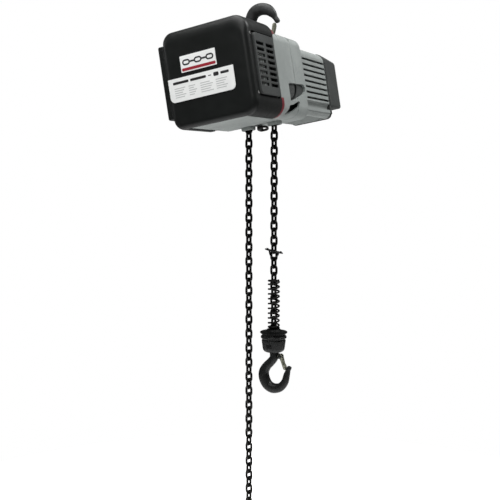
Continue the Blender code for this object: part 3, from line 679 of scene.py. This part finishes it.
def side_pockets():
    """Cutters for the scoop and the hollow in the lower right side."""
    return [plate("scoop", [SCOOP], 34, 3, "YZ", 35), plate("hollow", [HOLLOW], 60, 1.5, "YZ", 42)]


def seam_notch():
    """Opens the joint between the castings where it turns over the top corners."""
    loops = [shrunk(WAIST, WAIST_R, -2), shrunk(WAIST, WAIST_R, 5)]
    notch = plate("notch", loops, 9, 0.6, "XZ", SEAM_FRONT + 1.7)
    middle = (WAIST[0] + WAIST[1]) / 2
    keep = (WAIST[1] - WAIST[0]) / 2 - 24
    combine(notch, [box("under", (-140, 40, -290), (70, 60, WAIST[3] - 17)),
        box("between", (middle - keep, 40, -90), (middle + keep, 60, -30))])
    return notch


def build_scoop_shade_plates():
    """Dark grey plates set back in the scoop as painted shade for its recess, parted by the curved opening."""
    shade_plate = plate("scoop_shade_plates", [SCOOP], SHADE_PLATE_THICK, 1.5, "YZ", SHADE_PLATE_X)
    combine(shade_plate, [arc_gap()])
    finish_piece(shade_plate, "dark_grey")


def build_gear_case():
    """Frame casting: front body, narrower waist, and the tongue under the control cover."""
    y0, y1 = CASE_FRONT, CASE_SHOULDER
    case = drum("frame_casting", CASE, CASE_R, [(y0, 1.2), (y0 + 1.2, 0), (y1 - 3, 0), (y1 - 0.9, 0.9),
        (y1, 3)])
    waist = drum("waist", WAIST, WAIST_R, [(-20, 0), (SEAM_FRONT - 1.2, 0), (SEAM_FRONT, 1.2)])
    tongue = box("tongue", (-147.7, -203.7, CASE_LO.z), (11.7, -50, CASE_LO.z + 5), 1.6)
    rails = [box("rail", (x - 2.5, -196, CASE_LO.z + 3), (x + 2.5, -62, CASE_LO.z + 12), 1)
        for x in (-120, -60, 0)]
    combine(case, [waist, tongue] + rails, "UNION")
    well = [(0, -30), (37, -30), (34, -51.5), (31.6, -54.5), (31.6, -82.5), (29.5, -84), (0, -84)]
    tools = [prism("cavity", -59.7, -1, rounded(-166, 30, -262, -98, 22)),
        prism("cavity2", -15, 60, rounded(-104, 30, -255, -98, 22)),
        turned("hook_well", well, (HOOK_X, 0, 0)), rod("neck_bore", 11.8, -70, -110, (HOOK_X, 0, 0)),
        box("load_hole", (-30.6, -16.8, -290), (4, 16.8, -240)),
        box("slack_hole", (-105.6, -16.8, -290), (-71, 16.8, -240))]
    combine(case, tools + side_pockets() + [seam_notch()])
    finish_piece(case, "casting_grey", replaces=["gear_case"])


def build_gear_cover():
    """Cover over the gears, with a near-black liner that keeps light out of the scoop and is painted shade behind
    its opening.
    """
    y0, y1 = SEAM_BACK, GEAR_BACK
    cover = drum("gear_cover_skin", WAIST, WAIST_R,
        [(y0, 1.4), (y0 + 1.4, 0), (y1 - 5, 0), (y1 - 1.5, 1.5), (y1, 5)])
    cavity = drum("cavity", WAIST, WAIST_R, [(40, 7), (y1 - 8, 7)])
    combine(cover, [cavity] + side_pockets() + [seam_notch()])
    finish_piece(cover, "casting_grey", replaces=["gear_cover"])
    # Near-black liner: painted shade seen through the scoop's opening.
    shade_liner = prism("shade_liner", 12, 104, rounded(-103, 20.6, -253, -99, 20))
    combine(shade_liner, [rod("nut_room", 22, -90, -122, (HOOK_X, 0, 0))])
    finish_piece(shade_liner, "black_plastic")
    spots = [(-104, -80), (31, -88), (-104, -240), (31, -240)]
    screws("gear_cover_screws", [(x, y1 - 0.5, z) for x, z in spots], "Y", 4.6, 4.5)


# ---- motor

MOTOR_X = (MOTOR_LO.x + MOTOR_HI.x) / 2
MOTOR_Z = (MOTOR_LO.z + MOTOR_HI.z) / 2
MOTOR_TOP_R, MOTOR_FOOT_R = 26, 16
MOTOR_FLUTE = (-211, -238)      # top and bottom of the hollow along each side
FLUTE_DEPTH = 9
SLOT_ROWS, SLOT_TOP, SLOT_PITCH = 8, -95, 15
MOTOR_EDGE = 1.5                # bevel round the housing's rear end


def motor_outline(depth):
    """Right half down the side with its flute, then mirrored about the motor's middle."""
    top, bottom, side = MOTOR_HI.z, MOTOR_LO.z, MOTOR_HI.x
    half = arc(side - MOTOR_TOP_R, top - MOTOR_TOP_R, MOTOR_TOP_R, 90, -90, 12)
    for i in range(13):
        half.append((side - depth * math.sin(math.pi * i / 12) ** 0.8,
            MOTOR_FLUTE[0] + (MOTOR_FLUTE[1] - MOTOR_FLUTE[0]) * i / 12))
    half += arc(side - MOTOR_FOOT_R, bottom + 21, MOTOR_FOOT_R, 0, 90, 8, -21)
    return half + [(2 * MOTOR_X - x, z) for x, z in reversed(half)]


def scaled(outline, across, up):
    """Outline scaled about the motor's middle."""
    return [(MOTOR_X + (x - MOTOR_X) * across, MOTOR_Z + (z - MOTOR_Z) * up) for x, z in outline]


def build_motor():
    """Housing with slots through its sides and grooves over its top and foot, round a near-black liner that is
    painted shade behind the slots.
    """
    y0, y1 = MOTOR_LO.y, MOTOR_HI.y
    outline = motor_outline(FLUTE_DEPTH)
    motor = loft("motor_skin",
        [(y0, outline), (y1 - MOTOR_EDGE, outline),
        (y1, scaled(outline, 1 - MOTOR_EDGE / 63, 1 - MOTOR_EDGE / 92))])
    tools = [prism("cavity", y0 + 6, y1 + 6, rounded(-94, 20, -224, -72, 20))]
    for x0, x1 in ((12, 40), (-114, -86)):
        slots = [box("slot", (x0, 149, SLOT_TOP - SLOT_PITCH * row - 6.2),
            (x1, 308.4, SLOT_TOP - SLOT_PITCH * row), 0.8, 2) for row in range(SLOT_ROWS)]
        tools.append(merged("slots", slots))
    foot = [box("groove", (x, 128, -262), (x + 4.5, 300, -246.5), 0.8, 2)
        for x in [-84 + 9.5 * i for i in range(10)]]
    top = [box("groove", (x, 132, -68.2), (x + 3, 300, -50), 0.6, 2)
        for x in [-70 + 14 * i for i in range(5)]]
    combine(motor, tools + [merged("grooves", foot), merged("top_grooves", top)])
    finish_piece(motor, "casting_grey", replaces=["motor_housing"])
    # Near-black sleeve: painted shade seen through the slots.
    shade_sleeve = prism("motor_shade_liner", 134, 308, rounded(-91, 17, -221, -78, 18))
    combine(shade_sleeve, [rod("bore", 60, 120, 320, (MOTOR_X, 0, WHEEL_CASE.z), "Y")])
    finish_piece(shade_sleeve, "black_plastic")


# Sections of the rear cap: y, inset of the sides and bottom, and drop of the sloping top.
REAR_SECTIONS = ((312, 0, 0), (316, 0, 0), (389.6, 0, 8), (392.6, 0.9, 8.9), (394.4, 2.6, 10.6),
    (395, 4.8, 12.8))
REAR_TOP = -73


def cap_outline(inset, drop):
    """Rear cap's section: wide corners above, tight ones below."""
    x0, x1, z0, z1 = -103 + inset, 29.6 - inset, -219.6 + inset, REAR_TOP - drop
    return (arc(x1 - 13, z1 - 13, 13, 0, 90, 6) + arc(x0 + 13, z1 - 13, 13, 90, 90, 6)
        + arc(x0 + 6, z0 + 6, 6, 180, 90, 6) + arc(x1 - 6, z0 + 6, 6, 270, 90, 6))


def build_rear_cover():
    """Cap with a sloping top on a flange that follows the motor's outline."""
    cap = loft("rear_cap", [(y, cap_outline(inset, drop)) for y, inset, drop in REAR_SECTIONS])
    outline = motor_outline(0)
    flange = loft("flange", [(y, scaled(outline, grow, grow))
        for y, grow in ((309.9, 1.008), (310.6, 1.02), (317, 1.02), (318.6, 1), (319, 0.985))])
    combine(cap, [flange], "UNION")
    cavity = loft("cavity",
        [(300, rounded(-94, 20, -211, -80, 12)), (386, rounded(-94, 20, -211, -92, 12))])
    vents = []
    for i in range(5):
        shorter, top = 3 * abs(2 - i), -119 - 14 * i
        vents.append(box("vent", (-75 + shorter, 380, top - 5), (1 - shorter, 400, top), 1, 2))
    combine(cap, [cavity, merged("vents", vents)])
    finish_piece(cap, "dark_grey", replaces=["rear_cover"], sharp=24)
    screws("rear_screws", [(x, 393.5, z) for x in (-84, 10) for z in (-108, -200)], "Y", 3.6, 3)


# ---- plates

PLATE_THICK, PLATE_EDGE = 1.3, 0.35
INK_THICK, INK_EDGE = 0.16, 0.03
PLATE_Y = COVER_LO.y - 0.95     # middle of the plates' thickness
INK_Y = COVER_LO.y - 1.66


def ink_shape(*loops):
    return plate("ink", loops, INK_THICK, INK_EDGE, "XZ", INK_Y)


def print_bars(name, bars, ink):
    """Raised ink on a plate's face; each bar is (x0, x1, z0, z1)."""
    shapes = [ink_shape(rounded(x0, x1, z0, z1, min(x1 - x0, z1 - z0) * 0.3, 3))
        for x0, x1, z0, z1 in bars]
    finish_piece(merged(name, shapes), ink)


def build_maker_plate():
    """Small plate with a generic mark: a row of chain links over a band."""
    logo = plate("maker_plate", [rounded(-137, -41, -141, -102, 1.5, 3)], PLATE_THICK, PLATE_EDGE, "XZ",
        PLATE_Y)
    finish_piece(logo, "white_label", replaces=["logo_plate"])
    print_bars("plate_band", [(-134.5, -43.5, -138.5, -131.5)], "ink_red")
    links = []
    for i in range(5):
        x = -121 + 16 * i
        if i % 2 == 0:
            links.append(ink_shape(rounded(x - 10.5, x + 10.5, -125.5, -111.5, 7),
                rounded(x - 6.8, x + 6.8, -121.8, -115.2, 3.3)))
        else:
            links.append(plate("bar", [rounded(x - 8, x + 8, -120.6, -116.4, 2.1)], 0.18, INK_EDGE,
                "XZ", INK_Y - 0.03))
    finish_piece(merged("plate_chain_mark", links), "ink_black")


def build_rating_plate():
    """Wide plate with rounded lower corners, a heading of blocks and rows of grey bars."""
    outline = [(-177.5, -150.5), (-0.5, -150.5), (-0.5, -190)]
    outline += arc(-12.5, -194.5, 12, 0, -90, 9)[1:] + arc(-165.5, -194.5, 12, -90, -90, 9)
    data = plate("rating_plate", [outline], PLATE_THICK, PLATE_EDGE, "XZ", PLATE_Y)
    finish_piece(data, "white_label", replaces=["data_plate"])
    print_bars("rating_heading", [(-165, -122, -165, -159), (-117, -74, -165, -159),
        (-68, -60, -163, -161), (-54, -40, -166.5, -157.5), (-35, -13, -165, -159)], "ink_black")
    rows = []
    for row in range(5):
        z = -174 - 5.2 * row
        for column, (x0, width) in enumerate(((-163, 30), (-124, 22), (-92, 34), (-50, 30))):
            rows.append((x0, x0 + width - 4 * ((row + column) % 3), z - 1.9, z))
    print_bars("rating_rows", rows, "ink_grey")


# ---- chain


def link_path():
    """Stadium-shaped centreline of one link, standing in the X-Z plane."""
    radius = LINK_W / 2 - WIRE_R
    straight = PITCH / 2 + WIRE_R - radius
    outline = arc(0, straight, radius, 0, 180, 9) + arc(0, -straight, radius, 180, 180, 9)
    return [(x, 0, z) for x, z in outline]


LINK_PATH = link_path()


def chain(name, places, body, thinner, replaces):
    """Links at (x, z, angle, standing); a run nested in another is a hair thinner."""
    bm = bmesh.new()
    radius = WIRE_R - thinner
    for x, z, angle, standing in places:
        turn = Matrix.Identity(4) if standing else Matrix.Rotation(math.pi / 2, 4, "Z")
        hang = Matrix.Rotation(0 if angle else TWIST, 4, "Z")
        spot = Matrix.Translation((x, 0, z)) @ Matrix.Rotation(angle, 4, "Y") @ hang @ turn
        link = sweep("link", LINK_PATH, lambda i: circle(radius, 12), True)
        link.data.transform(spot)
        bm.from_mesh(link.data)
        discard(link)
    finish_piece(as_object(name, bm), "chain_black", body, PLUMB, replaces, 60)


def fall(x, first, last, even_stands):
    """Places of links first..last below the wheel; link 0 is the first off it."""
    return [(x, WHEEL_Z - PITCH * (k + 0.5), 0, (k % 2 == 0) == even_stands)
        for k in range(first, last + 1)]


# Runs overlap so that no gap opens at the hook's limits of 12 and 20 pitches.
LOAD_FIXED, LOAD_HALF, LOAD_HOOK = (0, 17), (8, 24), (14, 33)
SLACK_FIXED, SLACK_MOVING = (0, 32), (20, 58)
HAIR = 0.04                     # each run's wire is this much thinner than the one it lies in
WRAPPED = 6                     # links lying over the upper half of the lift wheel


def build_chains():
    chain("load_links_fixed", fall(LOAD_X, *LOAD_FIXED, True), "casing", 0, ["load_chain_upper"])
    chain("load_links_half", fall(LOAD_X, *LOAD_HALF, True), "load_mid_body", HAIR, ["load_chain_mid"])
    chain("load_links_hook", fall(LOAD_X, *LOAD_HOOK, True), "hook_block_body", 2 * HAIR,
        ["load_chain_lower"])
    chain("slack_links_fixed", fall(SLACK_X, *SLACK_FIXED, False), "casing", 0, ["slack_chain_upper"])
    chain("slack_links_moving", fall(SLACK_X, *SLACK_MOVING, False), "slack_body", HAIR,
        ["slack_chain_lower"])
    wrap = []
    step = 180 / WRAPPED
    radius = PITCH_R * math.cos(math.radians(step / 2))
    for k in range(WRAPPED):
        a = math.radians(step * (k + 0.5))
        wrap.append((WHEEL_X + radius * math.cos(a), WHEEL_Z + radius * math.sin(a), -a, k % 2 == 1))
    chain("wheel_links", wrap, "casing", 0, ["wheel_chain"])
    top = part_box("chain_end_stop")[1].z / MM
    stop = turned("end_stop_skin", [(0, -0.5), (7, -0.2), (9.6, -2.2), (11.3, -4.6), (11.5, -8),
        (10.2, -9.5), (10.2, -12.5), (11.5, -14), (11.4, -19), (9, -22.4), (6.5, -23), (0, -23)],
        (SLACK_X, 0, top))
    finish_piece(stop, "black_plastic", "slack_body", PLUMB, ["chain_end_stop"])


TAIL_TURN = math.radians(62)    # how far the spare link has swung about its pin


def build_tail_link():
    """Spare link pinned in a small bracket under the case."""
    low, high = case_box("tail_link")
    x, z = (low.x + high.x) / 2, (low.z + high.z) / 2
    link = sweep("spare_link", LINK_PATH, lambda i: circle(WIRE_R, 12), True)
    link.data.transform(Matrix.Translation((x, 0, z + 1)) @ Matrix.Rotation(TAIL_TURN, 4, "X")
        @ Matrix.Rotation(math.pi / 2, 4, "Y"))
    finish_piece(link, "chain_black", replaces=["tail_link"], sharp=60)
    low, high = case_box("tail_anchor")
    foot = box("foot", (low.x, -9, high.z - 1.4), (high.x, 9, high.z), 0.4, 2)
    ear = rounded(low.x + 9.5, low.x + 19.5, low.z, high.z - 0.6, 3.5, 5)
    ears = [plate("ear", [ear], 3.2, 0.5, "XZ", y) for y in (-6.7, 6.7)]
    pin = turned("pin", mirrored([(0, -9.6), (2.6, -9.4), (3.4, -8.4), (2.2, -8.2)]),
        (low.x + 15.2, 0, z), "Y", 24)
    finish_piece(merged("tail_bracket", [foot] + ears + [pin]), "dark_grey", replaces=["tail_anchor"])


def build_guides():
    """Cast chain guides: tapered snouts under the case with rounded throats."""
    for tag in ("slack", "load"):
        low, high = case_box(tag + "_chain_guide")
        x, y = (low.x + high.x) / 2, (low.y + high.y) / 2
        half, wide, tall = (high.x - low.x) / 2, (high.y - low.y) / 2, high.z - low.z
        hole, gap = half - 2.7, wide - 2.8
        body = loft("guide",
            [(drop, rounded(-half + inset, half - inset, -wide + inset, wide - inset, 6.5 - inset))
            for drop, inset in ((0, 0), (tall - 8, 0), (tall - 1.6, 0.7), (tall - 0.4, 1.3),
            (tall, 2.2))])
        throat = loft("throat",
            [(drop, rounded(-hole - flare, hole + flare, -gap - flare, gap + flare, 4 + flare))
            for drop, flare in ((-5, 0), (tall - 1.2, 0), (tall + 1, 0.9))])
        combine(body, [throat])
        body.data.transform(Matrix.Translation((x, y, high.z)) @ Matrix.Rotation(-math.pi / 2, 4, "X"))
        finish_piece(body, "casting_grey", replaces=[tag + "_chain_guide"])


# ---- hooks

# Knots along a hook, in its own plane: x, z and the bar's radius.
NECK_KNOTS = [(0, 6, 10.3), (0.4, -4, 10.8), (1, -15.6, 11.2)]
HOOK_KNOTS = NECK_KNOTS + [(-6, -26, 11.2), (-20.4, -41.6, 12), (-28, -57, 13.6), (-26.3, -74, 14.4),
    (-16.8, -90, 14), (-1, -97.2, 13.2), (18.3, -93, 11.4), (31.8, -78, 9.8), (37.4, -58.5, 8.4),
    (41.4, -45.5, 6.4), (43.6, -40.5, 6.4), (46, -36.6, 5.4), (46.8, -34.8, 3)]
TOP_HOOK_KNOTS = NECK_KNOTS + [(-6.4, -26, 11.2), (-21, -41.6, 11.8), (-29.5, -57, 13.4),
    (-28.5, -74, 14.8), (-16, -92.5, 15.3), (3, -98, 15.2), (22.5, -92, 14), (34, -80, 10.8),
    (40.2, -67.6, 6.8), (44, -60, 6.8), (45.8, -55.2, 5.8), (46.2, -53.4, 3)]
LATCH_PIVOT = (20, -10.5)
LATCH_TIP = (33.4, -43.2)
TOP_LATCH_TIP = (36.4, -53.4)
HOOK_DEPTH = 0.86            # thickness across the hook over its height
SQUARENESS = 0.86            # below 1 the forged section is fuller than an ellipse
VOXEL, QUICK_VOXEL = 0.9, 1.6


def upside_down(obj):
    obj.data.transform(Matrix.Diagonal((1, 1, -1, 1)))
    obj.data.flip_normals()


def build_hook(name, knots, base, up, body, place, replaces, mat):
    """Forged hook; `up` is 1 for the bottom hook and -1 for the inverted top one."""
    path = smooth_path(knots, 7)

    def section(i):
        radius = path[i][2]
        points = []
        for c, s in circle(1, 20):
            across = math.copysign(abs(c) ** SQUARENESS, c)
            along = math.copysign(abs(s) ** SQUARENESS, s) * (1 + 0.08 * across * up)
            points.append((radius * across, radius * HOOK_DEPTH * along))
        return points

    hook = sweep(name, [(p[0], 0, p[1] * up) for p in path], section)
    px, pz = LATCH_PIVOT
    lug = plate("lug",
        [[(2, pz + 8.5), (10, pz + 8), (18, pz + 6.4), (24, pz + 3.6), (26, pz - 1), (24.6, pz - 4.6),
        (20, pz - 6.6), (11, pz - 8), (2, pz - 12)]], 7, 1.2, "XZ", 0)
    if up < 0:
        upside_down(lug)
    shank = rod("shank", 9.6, 16 * up, 2 * up, (0, 0, 0))
    whole = merged(name, [hook, lug, shank])
    remesh = whole.modifiers.new("forge", "REMESH")
    remesh.mode = "VOXEL"
    remesh.voxel_size = VOXEL
    relax = whole.modifiers.new("relax", "SMOOTH")
    relax.factor = 0.5
    relax.iterations = 5
    settle(whole)
    whole.data.transform(Matrix.Translation(base))
    finish_piece(whole, mat, body, place, replaces, 80)


def build_latch(name, tip, base, up, body, pin_body, place, replaces, pin_node):
    """Pressed latch: two cheeks on the pin and a channel that runs to the hook's point."""
    px, pz = LATCH_PIVOT
    tx, tz = tip
    cheek = arc(px, pz, 6.2, -10, 200, 10)
    cheek += [(px + 1, pz - 9), (tx - 6.4, tz + 8), (tx - 3.4, tz - 0.4), (tx + 0.2, tz - 1),
        (tx + 1.2, tz + 2), (px + 8.8, pz - 12)]
    cheeks = [plate("cheek", [cheek], 1.6, 0.4, "XZ", y) for y in (-5.1, 5.1)]
    spine = smooth_path([(px + 7.4, pz - 8), (px + 8.6, pz - 16), (tx + 0.6, tz + 7),
        (tx + 0.4, tz - 1.6)], 5)
    flat = [(0.8, 5.6), (0.5, 5.9), (-0.5, 5.9), (-0.8, 5.6), (-0.8, -5.6), (-0.5, -5.9), (0.5, -5.9),
        (0.8, -5.6)]
    tongue = sweep("tongue", [(p[0], 0, p[1]) for p in spine], lambda i: flat)
    latch = merged(name, cheeks + [tongue])
    pin = turned(name + "_rivet", mirrored([(0, -9.4), (3, -9), (4.6, -7.8), (5, -6.3), (1.9, -6.1)]),
        (px, 0, pz), "Y", 24)
    for obj in (latch, pin):
        if up < 0:
            upside_down(obj)
        obj.data.transform(Matrix.Translation(base))
    finish_piece(latch, "zinc", body, place, replaces)
    finish_piece(pin, "forged_black", pin_body, place, [pin_node])


def build_hooks():
    pivot = CASING.inverted() @ Vector(JOINTS["top_latch_open"]["pos_m"]) / MM
    top = (pivot.x - LATCH_PIVOT[0], 0, pivot.z + LATCH_PIVOT[1])
    # The top hook takes the lighter forged copy, a painted sheen from the overhead light.
    build_hook("suspension_hook", TOP_HOOK_KNOTS, top, -1, "suspension", CASING, ["top_hook"],
        "forged_painted_sheen")
    build_latch("suspension_latch", TOP_LATCH_TIP, top, -1, "top_latch_body", "suspension", CASING,
        ["top_latch"], "top_latch_pin")
    bottom = (LOAD_X, 0, BLOCK_Z)
    build_hook("load_hook", HOOK_KNOTS, bottom, 1, "bottom_hook_body", PLUMB, ["bottom_hook"],
        "forged_black")
    build_latch("load_latch", LATCH_TIP, bottom, 1, "bottom_latch_body", "bottom_hook_body", PLUMB,
        ["bottom_latch"], "bottom_latch_pin")


# ---- hook block

COIL_R = 13.6
COIL_WIRE = 2.4
COIL_TURNS = 11
END_TURN = 0.85              # part of a turn that lies flat at each end
BLOCK_TOP = -815
BOLT_Z = -824.8


def build_spring():
    """Compression spring with closed, flat end turns."""
    bottom, top = SPRING_LO.z + COIL_WIRE, SPRING_HI.z - COIL_WIRE
    closed = 2 * COIL_WIRE / (top - bottom) * END_TURN
    path = []
    steps = COIL_TURNS * 22
    for i in range(steps + 1):
        turn = COIL_TURNS * i / steps
        if turn < END_TURN:
            rise = closed * turn / END_TURN
        elif turn > COIL_TURNS - END_TURN:
            rise = 1 - closed * (COIL_TURNS - turn) / END_TURN
        else:
            rise = closed + (1 - 2 * closed) * (turn - END_TURN) / (COIL_TURNS - 2 * END_TURN)
        a = 2 * math.pi * turn
        path.append((LOAD_X + COIL_R * math.cos(a), COIL_R * math.sin(a),
            bottom + (top - bottom) * rise))
    spring = sweep("coil_spring", path, lambda i: circle(COIL_WIRE, 10), False, Vector((0, 0, 1)))
    finish_piece(spring, "chain_black", "spring_body", PLUMB, ["cushion_spring"], 60)


def build_hook_block():
    """Rubber cushion seat over a turned block with a chain bolt through it and two screws."""
    top = SPRING_LO.z - 0.3
    foot = BLOCK_TOP + 0.3 - top
    seat = turned("cushion_skin", [(11.6, 0), (16.8, 0), (17.6, -0.6), (19.4, -3.6), (21, -5),
        (34, -6.6), (35.4, -7.6), (35.6, -8.6), (34.6, -10.2), (31, -13), (30.2, foot), (11.6, foot)],
        (LOAD_X, 0, top), "Z", 72)
    finish_piece(seat, "black_plastic", "hook_block_body", PLUMB, ["cushion_seat"])
    block = turned("block_skin", [(0, -21.5), (11.6, -21.5), (11.6, 0), (29.4, 0), (30, -0.8),
        (30.4, -2.6), (32.6, -3.2), (33.5, -4.4), (33.5, -7.6), (32.6, -8.9), (30.2, -9.4),
        (29.4, -10.2), (29.4, -12.4), (30.4, -13.4), (31.2, -14.6), (31.1, -17), (28.6, -35.5),
        (27.8, -38.8), (25.6, -42.4), (22, -44.6), (19, -45), (11.6, -45), (11.6, -38), (19, -38),
        (19, -26), (0, -26)], (LOAD_X, 0, BLOCK_TOP), "Z", 72)
    tools = [rod("pin_hole", 3, LOAD_X - 50, LOAD_X + 50, (0, 0, BOLT_Z), "X", 24)]
    tools += [box("flat", (LOAD_X - 8, y0, BLOCK_TOP - 34), (LOAD_X + 8, y1, BLOCK_TOP - 20), 2)
        for y0, y1 in ((-40, -27.4), (27.4, 40))]
    combine(block, tools)
    finish_piece(block, "forged_black", "hook_block_body", PLUMB, ["hook_block"])
    pin = turned("chain_bolt", [(0, -29), (3, -29), (4, -28), (4, -25.6), (2.6, -25.4), (2.6, 27.5),
        (1.8, 28.2), (0, 28.2)], (LOAD_X, 0, BOLT_Z), "X", 24)
    finish_piece(pin, "steel", "hook_block_body", PLUMB, ["chain_pin"])
    heads = [cap_screw("bolt", (LOAD_X, y * 26.6, BLOCK_TOP - 27), "Y", 3.4, 2.6, y) for y in (-1, 1)]
    finish_piece(merged("block_screws", heads), "forged_black", "hook_block_body", PLUMB)


# How the stop plate tips over on the chain.
STOP_TIP = [Matrix.Rotation(math.radians(12), 4, "Y"), Matrix.Rotation(math.radians(-7), 4, "X")]


def build_stop_plate():
    """Two-leaf stop held on the chain by a bow underneath, tipped by its own weight."""
    disc = turned("stop_disc", mirrored([(11.8, 1), (12.2, 1.3), (23.4, 1.3), (24, 0.8)]), (0, 0, 0),
        "Z", 64)
    bow = [(-12.5, 0, 1), (-11.6, 0, -4), (-8, 0, -10.5), (-2.5, 0, -15), (4, 0, -15.6), (10, 0, -12.6),
        (13, 0, -6), (13.2, 0, 1)]
    strap = sweep("bow", smooth_path(bow, 5), lambda i: [(u * 0.8, v * 1.6)
        for u, v in circle(2.4, 14)])
    heads = [cap_screw("bolt", (17.6 * c, 17.6 * s, 1), "Z", 2.6, 3)
        for c, s in ((0.94, 0.34), (-0.94, -0.34))]
    whole = merged("stop_skin", [disc, strap] + heads)
    whole.data.transform(Matrix.Translation((LOAD_X, 0, STOP_Z)) @ STOP_TIP[0] @ STOP_TIP[1])
    finish_piece(whole, "forged_black", "hook_block_body", PLUMB, ["stop_plate"])


def build_glands():
    """Cable glands of the supply and the pendant: a hexagon nut under a domed cap."""
    for tag in ("power", "pendant"):
        low, high = case_box(tag + "_gland")
        y, z = (low.y + high.y) / 2, (low.z + high.z) / 2
        x = high.x
        nut = turned("nut", [(6.5, x - 0.2), (16, x - 0.2), (16, x - 4), (6.5, x - 4)], (0, y, z), "X",
            6)
        ridges = [(6.5, x - 3), (12.5, x - 3), (12.5, x - 11.5), (12, x - 12.4), (10.2, x - 16),
            (9, x - 18.4), (7.6, x - 19), (6.5, x - 18.6)]
        dome = turned("dome", ridges, (0, y, z), "X", 40)
        finish_piece(merged(tag + "_gland_skin", [nut, dome]), "black_plastic",
            replaces=[tag + "_gland"])


FINS, RIBS, RIB_STEP = 8, 7, 13.5


def build_heat_sink():
    """Cast heat sink behind the right panel: a web with fins and ribs toward the slots."""
    low, high = case_box("heat_sink")
    parts = [box("web", (low.x, low.y, low.z), (low.x + 6, high.y, high.z), 1, 2)]
    step = (high.y - low.y - 3.5) / (FINS - 1)
    for y in [low.y + step * i for i in range(FINS)]:
        parts.append(box("fin", (low.x + 4, y + 0.3, low.z + 1), (high.x, y + 3.2, high.z - 1), 1, 2))
    for z in [low.z + 6 + RIB_STEP * i for i in range(RIBS)]:
        parts.append(box("rib", (low.x + 3, low.y + 1, z), (high.x - 3, low.y + 34, z + 7), 1.4, 2))
    finish_piece(merged("heat_sink_fins", parts), "aluminium", replaces=["heat_sink"])


# ---- studio


FLOOR_Z = -1.62
FLOOR_R = 1.7                # a wider floor would light the undersides
WORLD_FILL = 0.2
# Soft lights: name, place, the point faced, width and power.
LIGHTS = [("overhead", (-0.1, -0.5, 1.3), (0, 0, -0.2), 1.5, 46),
    ("high_right", (1.3, 0.75, 1.3), (0, 0.1, -0.15), 0.8, 42),
    ("front", (0.2, -2.6, 1.2), (0, -0.1, -0.2), 1.4, 26),
    ("left_fill", (-2.2, -0.6, 0.3), (0, 0, -0.3), 1, 5)]


def pale_floor(name):
    g = Graph(name)
    tint = g.ramp(g.noise(0.8, 2), shades((0.9, 0.9, 0.9), 0.99, 1))
    return g.plug(Base_Color=tint, Roughness=0.85, Emission_Color=(1, 1, 1, 1), Emission_Strength=1)


def build_floor():
    bm = bmesh.new()
    bmesh.ops.create_circle(bm, cap_ends=True, segments=96, radius=FLOOR_R)
    floor = as_object("studio_floor", bm)
    floor.location = (0, 0, FLOOR_Z)
    floor.data.materials.append(pale_floor("pale_floor"))


def build_world():
    """White behind the object, and a weak even fill for everything else."""
    world = bpy.data.worlds.new("studio")
    SCENE.world = world
    world.use_nodes = True
    nodes, link = world.node_tree.nodes, world.node_tree.links.new
    nodes.clear()
    out = nodes.new("ShaderNodeOutputWorld")
    blend = nodes.new("ShaderNodeMixShader")
    rays = nodes.new("ShaderNodeLightPath")
    seen = nodes.new("ShaderNodeBackground")
    seen.inputs["Color"].default_value = (1, 1, 1, 1)
    fill = nodes.new("ShaderNodeBackground")
    fill.inputs["Strength"].default_value = WORLD_FILL
    link(rays.outputs["Is Camera Ray"], blend.inputs[0])
    link(fill.outputs[0], blend.inputs[1])
    link(seen.outputs[0], blend.inputs[2])
    link(blend.outputs[0], out.inputs["Surface"])
    SCENE.view_settings.view_transform = "Standard"


def build_lights():
    for name, at, toward, size, power in LIGHTS:
        lamp = bpy.data.lights.new(name, "AREA")
        lamp.size = size
        lamp.energy = power
        holder = linked(name, lamp)
        holder.location = at
        holder.rotation_euler = (Vector(toward) - Vector(at)).to_track_quat("-Z", "Y").to_euler()


build_floor()
build_world()
build_lights()
build_cover()
build_vent_panel()
build_left_hood()
build_trim_ring()
build_gear_case()
build_gear_cover()
build_scoop_shade_plates()
build_motor()
build_rear_cover()
build_maker_plate()
build_rating_plate()
build_chains()
build_tail_link()
build_guides()
build_hooks()
build_spring()
build_hook_block()
build_stop_plate()
build_glands()
build_heat_sink()
